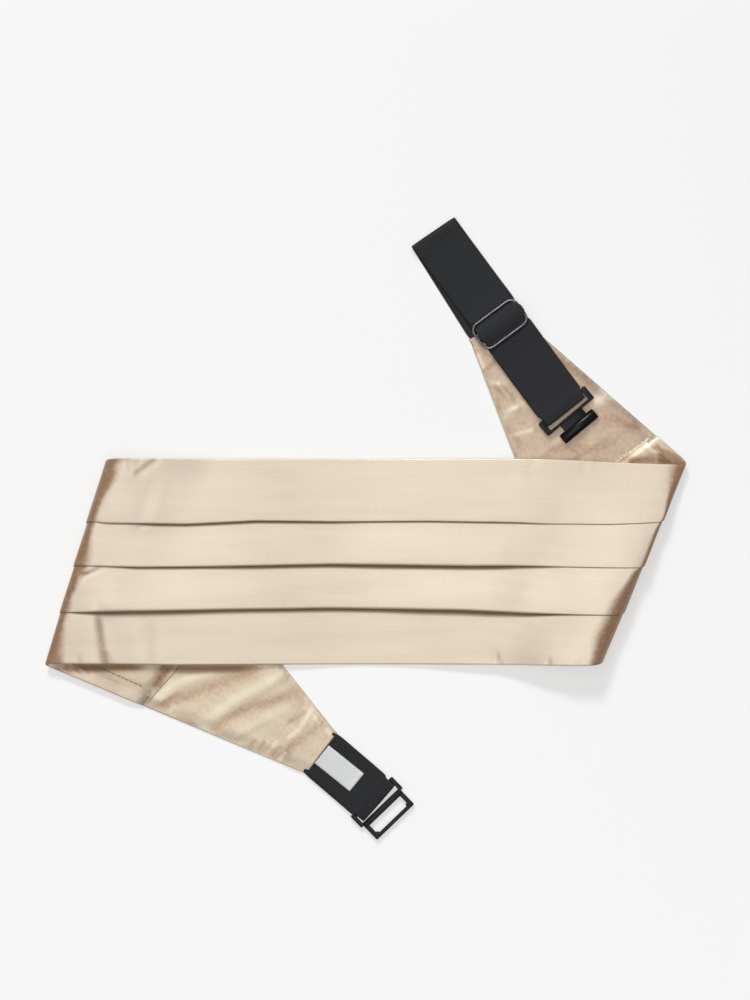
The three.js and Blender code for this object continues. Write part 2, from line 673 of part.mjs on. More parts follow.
// The right strap: out of its pocket, along the floor, over at the far fold, back over the
// slider's bar to the clasp, and beneath again to end at the slider's bar
function makeRightStrap(end) {
  const ring = sliderRing();
  const outHeading = end.heading + radians(end.strapTurn);
  const out = strapFrame(end, end.tipX, end.tipY, outHeading);
  const back = runBack(end);
  const over = strapFrame(end, back.x, back.y, back.heading);
  const low = ELASTIC / 2;
  const wide = STRAP_WIDTH;
  const waist = STRAP_WAIST;
  const sliderAt = SLIDER_FROM_FOLD;
  const first = [
    { s: -POCKET_DEPTH + GAP, z: STRAP_MIDDLE, width: wide, skew: end.strapTurn },
    { s: 0, z: STRAP_MIDDLE, width: wide },
    { s: STRAP_SLOPE, z: low, width: wide },
    { s: RUN_OUT - STRAP_SLOPE, z: low, width: wide },
    { s: RUN_OUT - FOLD_LOOP_LENGTH, z: low, width: wide },
  ];
  const loopTop = low + 2 * FOLD_LOOP_RADIUS;
  const loop = [1, 2, 3].map((i) => {
    const angle = (Math.PI * i) / 4;
    return {
      s: FOLD_LOOP_LENGTH * (Math.sin(angle) - 1),
      z: low + FOLD_LOOP_RADIUS * (1 - Math.cos(angle)),
      width: wide,
    };
  });
  const hump = ring.middle + WIRE / 2 + GAP + low;
  const settled = low + ELASTIC + GAP;
  const underWire = WIRE / 2 + GAP + low;
  const underFar = ring.far - underWire;
  const underNear = ring.near - underWire;
  const underBar = ring.middle - underWire;
  const overTip = WING_THICKNESS + GAP + ELASTIC + GAP + low;
  const barFloor = WING_THICKNESS + GAP + ELASTIC + GAP;
  const wire = ring.half;
  const beside = STRAP_BULGE / 2;
  const second = [
    { s: FOLD_LOOP_LENGTH, z: loopTop, width: wide },
    { s: STRAP_SLOPE, z: settled, width: wide },
    { s: sliderAt - wire - STRAP_SLOPE, z: settled, width: wide },
    { s: sliderAt - wire - WAIST_SLOPE, z: underFar, width: wide },
    { s: sliderAt - wire, z: underFar, width: SLIDER_WAIST },
    { s: sliderAt - wire + WIRE, z: underFar + GAP, width: SLIDER_WAIST },
    { s: sliderAt - beside, z: hump, width: SLIDER_WAIST },
    { s: sliderAt, z: hump + GAP, width: wide },
    { s: sliderAt + beside, z: hump, width: SLIDER_WAIST },
    { s: sliderAt + wire - WIRE, z: underNear, width: SLIDER_WAIST },
    { s: sliderAt + wire, z: underNear, width: SLIDER_WAIST },
    { s: sliderAt + wire + WAIST_SLOPE, z: underNear, width: wide },
    { s: sliderAt + wire + STRAP_SLOPE, z: overTip, width: wide },
    { s: RUN_BACK - STRAP_SLOPE, z: overTip, width: wide },
    { s: RUN_BACK - WAIST_SLOPE, z: overTip + BAR_LIFT, width: wide },
    ...barTurn(RUN_BACK, barFloor, waist, HOOK_CLASP_TURN),
    { s: RUN_BACK - STRAP_SLOPE / 2, z: WING_THICKNESS + GAP + low, width: waist },
    { s: sliderAt + wire + STRAP_SLOPE, z: WING_THICKNESS + GAP + low, width: waist },
    { s: sliderAt + wire + WAIST_SLOPE, z: TIP_THICKNESS + GAP + low, width: SLIDER_WAIST },
    { s: sliderAt + wire, z: TIP_THICKNESS + GAP + low, width: SLIDER_WAIST },
    { s: sliderAt + 1, z: underBar, width: SLIDER_WAIST },
    { s: sliderAt - low, z: underBar, width: SLIDER_WAIST },
    { s: sliderAt - underWire, z: ring.middle - WIRE / 2, width: SLIDER_WAIST },
    { s: sliderAt - underWire, z: ring.middle + GAP, width: SLIDER_WAIST },
  ];
  return joinStrapRuns(first, out, loop, second, over, ELASTIC, back, outHeading, end);
}

// Joins the two straight runs of the right strap round its far fold into one band
function joinStrapRuns(first, out, loop, second, over, thickness, back, outHeading, end) {
  const half = radians(RUN_BACK_TURN) / 2;
  const bisector = strapFrame(end, back.x, back.y, outHeading - half);
  const rows = [
    ...first.map((r) => ({ ...r, frame: out, u: r.s - RUN_OUT })),
    ...loop.map((r) => ({ ...r, frame: bisector, u: r.s })),
    ...second.map((r) => ({ ...r, frame: over, u: -r.s, flip: true })),
  ];
  const line = thicken(rows.map((r) => [r.u, r.z]), thickness);
  const count = rows.length;
  const rings = rows.map((row, i) => {
    const width = row.width / 2;
    const skew = Math.tan(radians(row.skew ?? 0));
    const corner = ([u, z], across) => {
      const side = row.flip ? -across : across;
      const base = row.frame === out ? u + RUN_OUT : row.flip ? -u : u;
      return row.frame(base + side * skew, side, z);
    };
    const upper = line[i];
    const lower = line[2 * count - 1 - i];
    return [corner(upper, width), corner(upper, -width), corner(lower, -width), corner(lower, width)];
  });
  return loft(rings, [[0, 1], [1, 1], [1, 0], [0, 0]]);
}

// The slider: a ring of wire with a bar across its middle, tipped up over the wing's end
function makeSlider(end) {
  const ring = sliderRing();
  const back = runBack(end);
  const frame = strapFrame(end, back.x, back.y, back.heading);
  const acrossHalf = SLIDER_WIDTH / 2 - WIRE / 2;
  const centres = [];
  for (const [su, sc, from] of [[1, 1, 0], [-1, 1, 90], [-1, -1, 180], [1, -1, 270]]) {
    for (let i = 0; i <= CORNER_STEPS; i += 1) {
      const angle = radians(from + (90 * i) / CORNER_STEPS);
      centres.push([
        su * (ring.half - SLIDER_CORNER) + SLIDER_CORNER * Math.cos(angle),
        sc * (acrossHalf - SLIDER_CORNER) + SLIDER_CORNER * Math.sin(angle),
        Math.cos(angle), Math.sin(angle),
      ]);
    }
  }
  const heightAt = (u) => ring.middle + ((ring.near - ring.far) / 2) * (u / ring.half);
  const wireRing = ([u, c, nu, nc]) => Array.from({ length: WIRE_SIDES }, (_, i) => {
    const angle = (2 * Math.PI * i) / WIRE_SIDES;
    const r = (WIRE / 2) * Math.cos(angle);
    const z = heightAt(u + nu * r) + (WIRE / 2) * Math.sin(angle);
    return frame(SLIDER_FROM_FOLD + u + nu * r, SLIDER_ASIDE + c + nc * r, z);
  });
  const hoop = closedHoop(centres.map(wireRing));
  const bar = [-acrossHalf, acrossHalf].map((c) => wireRing([0, c, 1, 0]));
  const disc = Array.from({ length: WIRE_SIDES }, (_, i) => {
    const angle = (2 * Math.PI * i) / WIRE_SIDES;
    return [Math.cos(angle), Math.sin(angle)];
  });
  return fromSolid(solid(hoop).add(solid(loft(bar, disc))));
}

// A ring of sections joined end to end
function closedHoop(rings) {
  const count = rings[0].length;
  const faces = [];
  rings.forEach((_, i) => {
    const next = (i + 1) % rings.length;
    for (let j = 0; j < count; j += 1) {
      const k = (j + 1) % count;
      faces.push(i * count + j, i * count + k, next * count + k);
      faces.push(i * count + j, next * count + k, next * count + j);
    }
  });
  const geometry = new THREE.BufferGeometry();
  const positions = rings.flat().flatMap((p) => [p.x, p.y, p.z]);
  geometry.setAttribute('position', new THREE.Float32BufferAttribute(positions, 3));
  geometry.setIndex(faces);
  return faceOutwards(geometry);
}

const group = new THREE.Group();
group.add(named('front_pleats', makePleats(), satin()));
group.add(named('panel_lining', makeLining(), satin()));
group.add(named('left_wing', makeWing(ends.left), satin()));
group.add(named('right_wing', makeWing(ends.right), satin()));
group.add(named('left_strap', makeLeftStrap(ends.left), elastic()));
group.add(named('label', makeLabel(ends.left), taffeta()));
group.add(named('loop_clasp', makeLoopClasp(ends.left), plastic()));
group.add(named('right_strap', makeRightStrap(ends.right), elastic()));
group.add(named('slider', makeSlider(ends.right), steel()));
group.add(named('hook_clasp', makeHookClasp(ends.right), plastic()));

// The origin is the middle of the whole thing's box, on the floor
const box = new THREE.Box3().setFromObject(group);
const centre = box.getCenter(new THREE.Vector3());
group.position.set(-centre.x, -centre.y, -box.min.z);
group.updateMatrixWorld(true);

export default group;
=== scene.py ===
"""A champagne satin cummerbund that lies on a pale table, with both its ends folded under."""

import bmesh
import bpy
import numpy as np
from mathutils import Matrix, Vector


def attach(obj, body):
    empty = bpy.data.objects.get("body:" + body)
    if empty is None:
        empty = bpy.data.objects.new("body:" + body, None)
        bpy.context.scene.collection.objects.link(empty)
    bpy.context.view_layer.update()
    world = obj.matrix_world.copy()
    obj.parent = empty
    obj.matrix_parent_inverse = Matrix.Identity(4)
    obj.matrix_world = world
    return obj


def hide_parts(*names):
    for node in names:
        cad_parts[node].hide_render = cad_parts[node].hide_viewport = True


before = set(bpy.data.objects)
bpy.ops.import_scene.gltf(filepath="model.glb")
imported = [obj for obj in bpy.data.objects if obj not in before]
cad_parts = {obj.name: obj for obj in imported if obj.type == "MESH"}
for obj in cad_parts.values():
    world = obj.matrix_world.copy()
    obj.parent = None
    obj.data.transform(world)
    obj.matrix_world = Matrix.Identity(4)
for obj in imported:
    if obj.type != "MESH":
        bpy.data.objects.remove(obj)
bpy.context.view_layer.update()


# The pleated front: polyester satin, pressed into three folds that open downwards, with both
# long edges turned under as hems. At each end the whole stack rolls over a slanting line and
# goes back beneath itself to the seam with the wing.

# Sizes in millimetres. Points are worked out about the middle of the panel and then moved
# to the middle of the whole thing, which is the frame's own zero.
PANEL_WIDTH = 123.0
PANEL_THICKNESS = 4.9
HALF_WIDTH = PANEL_WIDTH / 2
HEM = 6.6
STRAP_WIDTH = 31.2
FRAME_SHIFT = np.array([0.004, -20.067, 0.0])
SATIN_THICKNESS = 0.35

# The seams of the wings lean 10 degrees against the panel's ends
SEAM_SLANT = np.tan(np.radians(10))

# The panel lies on the table at its middle and has risen onto its turned-over ends at RISE_END
# from there. From ROLL_REACH before a roll it lifts further, with PLAY over what lies beneath.
RISE_END, ROLL_REACH, PLAY = 112, 60, 0.51

# The tight edge of an end sinks over this length, and no cloth's middle lies lower than LOWEST
DROOP_RUN = 100
LOWEST = 0.25

# Where each fold's edge lies, as a share of the panel's width, and how far the cloth laps back
MOUTHS = (0.305, 0.517, 0.737)
LAP = 0.13

# How far the edges of the folds wander from straight lines: distance along the panel, shift up
WANDER = (
    ((-168, -163, -112, -68, -21, 35, 102, 136, 179),
     (-0.1, -0.8, -1.5, 0.6, 0, 0.4, -0.7, 0.4, 3.6)),
    ((-177, -134, -81, -21, 64, 102, 167), (-0.2, -1.2, -0.5, 0.6, -0.4, -0.1, 0.6)),
    ((-185, -160, -134, -81, -21, 64, 106, 154), (-1.3, -1.3, -0.5, 0.7, 1.4, 0.3, -1.3, -1.3)),
)

# How high each fold's edge stands over the cloth below it: distance along the panel, height
STANDING = (
    ((-170, -160, -141, -133, -69, -21, 3, 81, 105, 180),
     (0.7, 1.2, 1.4, 2.2, 2.3, 1.9, 1.5, 1.5, 0.8, 0.6)),
    ((-180, -160, -136, -99, -69, -21, 9, 80, 120, 170),
     (0.6, 0.7, 2.0, 2.2, 2.8, 3.0, 3.5, 3.3, 0.8, 0.6)),
    ((-186, -170, -145, -125, -99, -69, 3, 39, 80, 105, 130, 150, 165),
     (0.5, 0.6, 3.7, 3.9, 3.6, 3.2, 3.2, 4.0, 4.2, 3.2, 1.4, 0.8, 0.6)),
)

# How wide the turning edge of each roll is, seen from above: place up the panel, width
LEFT_ROLL = ((-59.7, -50.1, -35.7, -28.5, -18.9, -9.3, 0.9, 18.3, 25.5, 36.3, 48.3),
             (8.4, 7.2, 5.2, 5.7, 4.8, 6.6, 7.8, 5.2, 5.4, 4.8, 8.1))
RIGHT_ROLL = ((-59.1, -44.7, -33.3, -21.9, -6.3, -3.9, 0.9, 17.7, 27.6, 40.5, 54.3),
              (6.6, 9.6, 9.0, 8.4, 4.8, 2.4, 2.2, 2.6, 1.2, 4.2, 7.7))

# Creases and puckers that show on the front: two ends in the frame, half width and height
FRONT_CREASES = (
    (-172, -76.7, -171.7, -81.5, 0.9, -0.7), (-153.1, -77.3, -152.8, -81.5, 0.9, -0.7),
    (-124, 41.5, -136.6, 31.9, 2.6, -0.5), (-140.8, 42.1, -139.6, 34.9, 1.2, -0.3),
    (-133.6, 41.5, -137.8, 36.1, 1.4, -0.3), (-157.6, -23.3, -169.6, -29.9, 1.4, -0.7),
    (-167.2, -22.7, -171.4, -26.9, 0.9, -0.6), (-129.4, 2.5, -137.2, -0.5, 1, -0.4),
    (77, -73.1, 78.2, -81.5, 1.4, -0.6), (108.8, -77.3, 109.1, -81.5, 0.9, -0.5),
    (125.6, -78.5, 126.2, -81.5, 0.9, -0.5), (105.2, 2.5, 103.4, -0.5, 0.9, -0.4),
    (106.4, -23.3, 104, -25.7, 0.9, -0.4), (101.6, 41.5, 96.8, 35.5, 1.8, -0.5),
    (131, 38.5, 130.7, 32.5, 0.9, -0.3), (87.8, 39.7, 83.6, 25.9, 3.5, -0.3),
)

# Soft steps across the lowest band, beside its left end: two ends, half width and height
FRONT_FOLDS = (
    (-161, -46, -157, -83, 4.5, 1.9), (-134, -50, -131, -80, 5, 0.8),
)

# Creases of the part that is turned over, which shows beyond the front's edges
BACK_CREASES = (
    (-177.4, -81.5, -159.4, -88.7, 2.2, -0.5), (-147.4, -86.3, -129.4, -93.5, 2, 0.3),
    (-162.4, -83.9, -147.4, -97.1, 1.6, -0.3), (193.4, 38.5, 173.6, 43.3, 1.2, -0.8),
    (188.6, 42.7, 170.6, 46.9, 1.3, 0.6), (183.8, 46.9, 173, 48.7, 1, -0.6),
    (181.4, 49.3, 175.4, 54.7, 1, 0.6), (173.6, 56.5, 169.4, 57.7, 1.1, 0.6),
    (169.4, 60.1, 166.4, 57.7, 1, 0.5), (173.6, 41.5, 159.8, 39.1, 1.6, -0.7),
    (170.6, 52.9, 146.6, 39.7, 3.2, 0.5), (164.6, 55.3, 144.2, 41.5, 1.6, -0.4),
)

# Painted shade: where the front's satin is painted brown along a soft crease, for the crease's
# shade: two ends, half width and how brown
FRONT_PAINTED_SHADE = (
    (-159.6, -52, -155.5, -81.5, 2.2, 0.6), (-156.5, -73, -153.5, -81.5, 3.6, 0.3),
    (-128.8, -54, -127.4, -80.9, 3.6, 0.2), (-183.4, -76.1, -182.2, -80.9, 2.4, 0.35),
    (-176.2, -25.7, -165.4, -26.9, 1.3, 0.6), (-166.6, -26.9, -158.8, -24.5, 1, 0.5),
    (-173.8, -38.3, -176.8, -28.7, 1.8, 0.4), (-151, 34.9, -160.6, 12.1, 3.4, 0.5),
    (-150.4, 41.5, -137.2, 41.5, 1.8, 0.5), (-137.8, 32.5, -124.6, 41.5, 1.5, 0.5),
    (95, 34.9, 98.6, 27.7, 3.6, 0.1), (78.8, -74.9, 81.8, -81.5, 1, 0.3),
    (108.8, -77.9, 110, -81.5, 1.2, 0.3), (176.6, 34.9, 179, 16.9, 2.4, 0.12),
)

# The same painted shade for the part that is turned over: the seam's strip and the cloth beside the front
BACK_PAINTED_SHADE = (
    (-184.6, -83.9, -138.4, -83.3, 2, 0.85), (-118.6, -81.5, -126.4, -95.9, 3.1, 0.75),
    (-128.2, -97.1, -131.2, -101.9, 2, 0.5), (-159.4, -88.7, -148.6, -97.1, 4.2, 0.25),
    (153, 40.5, 182, 40.5, 3.2, 0.9), (176, 43.8, 191, 38.5, 2.6, 0.95),
    (172, 49, 186, 43, 1.2, 0.8), (164.6, 48.7, 171.8, 43.9, 1.3, 0.35),
    (169.4, 55.3, 176.6, 48.7, 1.4, 0.3),
)

# The deep shade on what lies close beneath the front's long edges: two ends, half width, depth
EDGE_SHADE = (
    (-183, -83.4, -132, -83.4, 2.3, 0.95), (-126, -84, -68, -83.8, 2.3, 0.9),
    (176, 40.6, 190, 37.6, 1.6, 0.7),
)


def ease(t):
    """A smooth change from 0 to 1 while t goes from 0 to 1."""
    t = np.clip(t, 0.0, 1.0)
    return t * t * (3 - 2 * t)


class FoldedEnd:
    """One end of the panel: x runs out from the panel's middle, y towards the tight corner. It
    is given by the reach of its fold line at mid height and its lean in degrees, the radius of
    its roll at the tight and the loose corner, how far its tight edge droops, the way back to
    the seam, the wing's length, the rise of the wing's tip, where each edge of the wing starts
    to taper, and the degrees by which its strap turns off."""

    def __init__(self, side, reach, lean, tight, loose, droop, back, wing, rise,
                 tight_taper, loose_taper, strap_turn):
        lean = np.radians(lean)
        self.side, self.reach, self.back = side, reach, back
        self.droop, self.tight_taper, self.loose_taper = droop, tight_taper, loose_taper
        self.tan = np.tan(lean)
        self.along = np.array([np.sin(lean), np.cos(lean)])
        self.out = np.array([np.cos(lean), -np.sin(lean)])
        self.slope = (loose - tight) / (PANEL_WIDTH / np.cos(lean))
        corner = np.array([self.fold_x(HALF_WIDTH), HALF_WIDTH])
        self.point = corner + self.along * tight / self.slope
        self.turn = np.pi * self.slope
        self.tip_x = reach + back + wing
        self.tip_y = rise
        self.heading = np.arctan2(rise, back + wing)
        self.tip_slant = np.tan(self.heading) * STRAP_WIDTH / 2
        self.strap_heading = self.heading + np.radians(strap_turn)

    def fold_x(self, y):
        return self.reach + y * self.tan

    def polar(self, x, y):
        """Distance and angle about the point that the roll's cone comes from."""
        across, up = x - self.point[0], y - self.point[1]
        a = -(across * self.along[0] + up * self.along[1])
        b = across * self.out[0] + up * self.out[1]
        return np.hypot(a, b), np.arctan2(b, a)

    def place(self, rho, theta):
        a, b = rho * np.cos(theta), rho * np.sin(theta)
        x = self.point[0] - self.along[0] * a + self.out[0] * b
        y = self.point[1] - self.along[1] * a + self.out[1] * b
        return x, y

    def radius_at(self, y):
        return self.slope * np.hypot(self.point[0] - self.fold_x(y), self.point[1] - y)

    def ruling_x(self, theta, y):
        rise = -self.along[1] * np.cos(theta) + self.out[1] * np.sin(theta)
        return self.place((y - self.point[1]) / rise, theta)[0]

    def taper(self, x, start, stop):
        return np.clip((x - self.reach - start) / (stop - self.reach - start), 0, 1)

    def tight_edge(self, x):
        sink = self.droop * ease((x - self.reach - HALF_WIDTH / 2 + DROOP_RUN) / DROOP_RUN)
        t = self.taper(x, self.tight_taper, self.tip_x - self.tip_slant)
        return (HALF_WIDTH - sink) * (1 - t) + (self.tip_y + STRAP_WIDTH / 2) * t

    def loose_edge(self, x):
        t = self.taper(x, self.loose_taper, self.tip_x + self.tip_slant)
        return -HALF_WIDTH * (1 - t) + (self.tip_y - STRAP_WIDTH / 2) * t

    def seam(self):
        x = self.reach + self.back
        return x - self.tight_edge(x) * SEAM_SLANT, x - self.loose_edge(x) * SEAM_SLANT

    def underside(self, x, y):
        inward = self.fold_x(y) - x
        clear = PANEL_THICKNESS + PLAY
        over_back = clear + (2 * self.radius_at(y) - clear) * ease(1 - inward / ROLL_REACH)
        return over_back * ease(x / RISE_END)

    def under(self, x, y):
        """Where a point of the flat cloth lies once it is turned beneath the panel."""
        rho, theta = self.polar(x, y)
        return self.place(rho, self.turn - theta)


LEFT = FoldedEnd(side=-1, reach=168.6, lean=18.35, tight=3.2, loose=6.8, droop=0.8, back=98.7,
                 wing=96.1, rise=18.9, tight_taper=27, loose_taper=18, strap_turn=3.3)
RIGHT = FoldedEnd(side=1, reach=160.8, lean=25.5, tight=3.2, loose=9.0, droop=3.5, back=70.5,
                  wing=105.5, rise=37.1, tight_taper=30, loose_taper=7.6, strap_turn=2.6)


def roll_strip(side, y):
    """How wide the turning edge of a roll is, at a place up the panel."""
    return np.interp(y, *(LEFT_ROLL if side < 0 else RIGHT_ROLL))


def roll_shape(side, y, outer):
    """How far in the turned edge of a roll reaches, and how square its shoulder is. A round
    shoulder turns over 0.625 of its radius, and a squarer one over less."""
    strip = roll_strip(side, y)
    share = strip / outer
    reach_in = np.where(share > 0.625, strip / 0.625, outer)
    square = np.interp(share, (0.205, 0.247, 0.31, 0.41, 0.495, 0.625), (6, 5, 4, 3, 2.5, 2))
    return reach_in, square


def on_roll(end, x, y):
    """Where flat cloth lies against a roll: its distance and angle about the cone's point, the
    angle turned round the roll, how far short of the roll it is, and the roll's radius."""
    rho, theta = end.polar(x * end.side, y * end.side)
    phi = np.clip(np.pi * theta / end.turn, 0, np.pi)
    short = np.maximum(-rho * np.sin(theta), 0)
    return rho, theta, phi, short, end.slope * rho * np.cos(np.minimum(theta, 0))


def lay(end, x, y, h):
    """Lays points of the flat panel: x, y on the cloth and h above its underside."""
    ex, ey = x * end.side, y * end.side
    rho, theta, phi, short, radius = on_roll(end, x, y)
    offset = radius + h - PANEL_THICKNESS / 2
    outer = radius + PANEL_THICKNESS / 2
    flat_z = np.where(theta <= 0, end.underside(ex, ey) + h, outer + offset)
    inset = offset * (1 - np.sin(phi)) + short
    reach_in, square = roll_shape(end.side, y, outer)
    share = np.clip(inset / (reach_in * offset / outer), 0, 1)
    shoulder = (1 - (1 - share) ** square) ** (1 / square)
    z = outer + (flat_z - outer) * shoulder
    z = np.where(phi > np.pi / 2, outer + offset * np.cos(phi), z)
    z = np.where(theta >= end.turn, PANEL_THICKNESS - h, z)
    root_x, root_y = end.place(rho, 0 * rho)
    roll_x = root_x + end.out[0] * offset * np.sin(phi)
    roll_y = root_y + end.out[1] * offset * np.sin(phi)
    back_x, back_y = end.place(rho, end.turn - theta)
    px = np.where(theta <= 0, ex, np.where(theta < end.turn, roll_x, back_x))
    py = np.where(theta <= 0, ey, np.where(theta < end.turn, roll_y, back_y))
    return np.stack([px * end.side, py * end.side, z], axis=-1)


def painted_turn_shade(end, x, y):
    """Painted shade at a rolled end, 0 to 1: how brown the front's satin is painted where it has turned
    off towards the side, for the shade there. It browns from 0.6 of a strip a third wider than the
    roll's own, and pales underneath."""
    phi, short, radius = on_roll(end, x, y)[2:]
    inset = (radius + PANEL_THICKNESS / 2) * (1 - np.sin(phi)) + short
    strip = 1.35 * roll_strip(end.side, y)
    return (1 - ease((inset - 0.6 * strip) / (0.8 * strip))) * (1 - 0.85 * ease((phi - 1.7) / 1.2))


def beside_line(points, x0, y0, x1, y1):
    """How far along a line of the frame points lie, as a share of it, and how far beside it."""
    x, y = points[..., 0], points[..., 1]
    dx, dy = x1 - x0, y1 - y0
    length = np.hypot(dx, dy)
    along = ((x - x0) * dx + (y - y0) * dy) / length ** 2
    return along, ((x - x0) * dy - (y - y0) * dx) / length


def crease_height(points, creases):
    """Sum of the creases' heights at points that are given in the frame, in millimetres."""
    total = np.zeros(points.shape[:-1])
    for *line, half, height in creases:
        t, away = beside_line(points, *line)
        fade = ease((t + 0.15) / 0.3) * ease((1.15 - t) / 0.3)
        total += height * np.exp(-(away / half) ** 2) * fade
    return total


def fold_step(points, steps):
    """Heights of soft steps: the cloth on one side of a line stands over that on the other."""
    total = np.zeros(points.shape[:-1])
    for *line, half, height in steps:
        t, away = beside_line(points, *line)
        spread = half * (0.4 + 0.6 * np.clip(t, 0, 1))
        fade = ease((t + 0.1) / 0.45) * ease((1.15 - t) / 0.1)
        total += 0.5 * height * np.tanh(away / spread) * np.exp(-(away / (5 * half)) ** 2) * fade
    return total


def end_stations(end, roll_steps, back_steps):
    """Pairs of x on the tight and the loose edge, from the fold line out to the seam."""
    pairs = [(end.ruling_x(end.turn * i / roll_steps, HALF_WIDTH),
              end.ruling_x(end.turn * i / roll_steps, -HALF_WIDTH)) for i in range(roll_steps + 1)]
    (tight, loose), seam = pairs[-1], end.seam()
    for i in range(1, back_steps + 1):
        t = i / back_steps
        pairs.append((tight + (seam[0] - tight) * t, loose + (seam[1] - loose) * t))
    return pairs


def station(end, tight_x, loose_x):
    """One line across the panel: its end, x and y at the top edge, x and y at the bottom edge."""
    if end.side > 0:
        return end, tight_x, end.tight_edge(tight_x), loose_x, end.loose_edge(loose_x)
    return end, -loose_x, -end.loose_edge(loose_x), -tight_x, -end.tight_edge(tight_x)


def panel_stations(front_steps, roll_steps, back_steps):
    """All lines across the panel, from the left seam to the right one, closest at the folds."""
    row = []
    for end in (LEFT, RIGHT):
        pairs = end_stations(end, roll_steps, back_steps)
        near = [1 - (1 - i / front_steps) ** 1.5 for i in range(front_steps)]
        near = near if end is RIGHT else near[1:]
        half = [station(end, pairs[0][0] * t, pairs[0][1] * t) for t in near]
        half += [station(end, *pair) for pair in pairs]
        row += half[::-1] if end is LEFT else half
    return row


def half_turn(u, start, stop, bulge, steps):
    """Half a turn of cloth between two heights, bulging to the side that bulge gives."""
    radius = abs(stop - start) / 2
    angle = np.linspace(0, np.pi, steps)
    return np.stack([u - bulge * radius + bulge * radius * np.sin(angle),
                     (start + stop) / 2 + (start - stop) / 2 * np.cos(angle)], axis=1)


def fold_shade(away, shadow):
    """Painted shadow on the cloth that comes out of a fold, away millimetres from its start: full for
    0.62 of the shadow's length, and gone by 1.24 times it.
    """
    if shadow == 0:
        return 0 * away
    return 1 - ease((away - 0.62 * shadow) / (0.62 * shadow))


# Heights over the panel's underside: the hems, the open cloth, and inside a fold the cloth that
# laps back and the cloth that comes out again beneath it
HEM_HEIGHT, OPEN_HEIGHT, LAP_HEIGHT, TUCK_HEIGHT = 0.5, 1.8, 1.66, 1.3

# Points round half a turn at an edge, and along the open cloth, where they draw together
EDGE_POINTS, MOUTH_POINTS = 7, 10
ALONG_OPEN = np.linspace(0, 1, 24) ** 1.6


def pleat_line(width, x):
    """The cloth's line across the panel: distance below the top edge and height, and how much painted
    shade each point gets in and beneath a fold, from 0 in the open to 1 inside."""
    hem = [(back, HEM_HEIGHT) for back in (HEM, HEM - 0.15, 4.6, 2.6, 1.2)]
    parts = [np.array(hem), half_turn(0.0, HEM_HEIGHT, OPEN_HEIGHT, -1, EDGE_POINTS)]
    deep_shade = [np.zeros(len(hem) + EDGE_POINTS)]
    start, shadow = 1.0, 0.0
    for mouth, wander, standing in zip(MOUTHS, WANDER, STANDING):
        high = np.interp(x, *standing)
        radius = np.clip(0.38 * high, 0.22, 1.2)
        edge = (mouth - np.interp(x, *wander) / PANEL_WIDTH) * width
        back = edge - LAP * width
        climb = 0.35 * ALONG_OPEN + 0.65 * ease(ALONG_OPEN)
        u = start + (edge - radius - start) * ALONG_OPEN
        top = OPEN_HEIGHT + high
        parts += [np.stack([u, OPEN_HEIGHT + high * climb], axis=1),
                  half_turn(edge, top, top - 2 * radius, 1, MOUTH_POINTS)[1:],
                  np.array([(edge - 2, OPEN_HEIGHT + 0.03 * high), (edge - 4, 1.72), (back + 1, LAP_HEIGHT)]),
                  half_turn(back, LAP_HEIGHT, TUCK_HEIGHT, -1, 3),
                  np.array([(edge - 6, TUCK_HEIGHT), (edge - 3, TUCK_HEIGHT), (edge - 1.6, 1.62)])]
        # Painted shade: the shadow of the fold above on this open cloth, the fold's turned underside, and its
        # inside
        deep_shade += [fold_shade(u - start, shadow),
                   ease((np.linspace(0, 180, MOUTH_POINTS)[1:] - 50) / 60), np.ones(9)]
        start, shadow = edge - 0.8, 0.8 + 0.75 * high
    u = start + (width - 1.0 - start) * ALONG_OPEN
    parts += [np.stack([u, np.full(len(u), OPEN_HEIGHT)], axis=1),
              half_turn(width, OPEN_HEIGHT, HEM_HEIGHT, 1, EDGE_POINTS),
              np.array([(width - back, HEM_HEIGHT) for back, _ in hem[::-1]])]
    deep_shade += [fold_shade(u - start, shadow), np.zeros(len(hem) + EDGE_POINTS)]
    return np.concatenate(parts), np.concatenate(deep_shade)


def put_in_scene(name, data):
    """Adds an object that shows a mesh, a light or a camera."""
    thing = bpy.data.objects.new(name, data)
    bpy.context.scene.collection.objects.link(thing)
    return thing


def new_piece(name, points, faces):
    """A smooth piece from points in millimetres."""
    mesh = bpy.data.meshes.new(name)
    mesh.from_pydata((np.asarray(points, float) / 1000).tolist(), [], faces)
    mesh.polygons.foreach_set("use_smooth", [True] * len(mesh.polygons))
    return put_in_scene(name, mesh)


def face_outwards(piece, join=0.0):
    """Turns a closed mesh's faces outwards, after joining points that lie on each other."""
    work = bmesh.new()
    work.from_mesh(piece.data)
    if join:
        bmesh.ops.remove_doubles(work, verts=work.verts, dist=join)
    bmesh.ops.recalc_face_normals(work, faces=work.faces)
    work.to_mesh(piece.data)
    work.free()


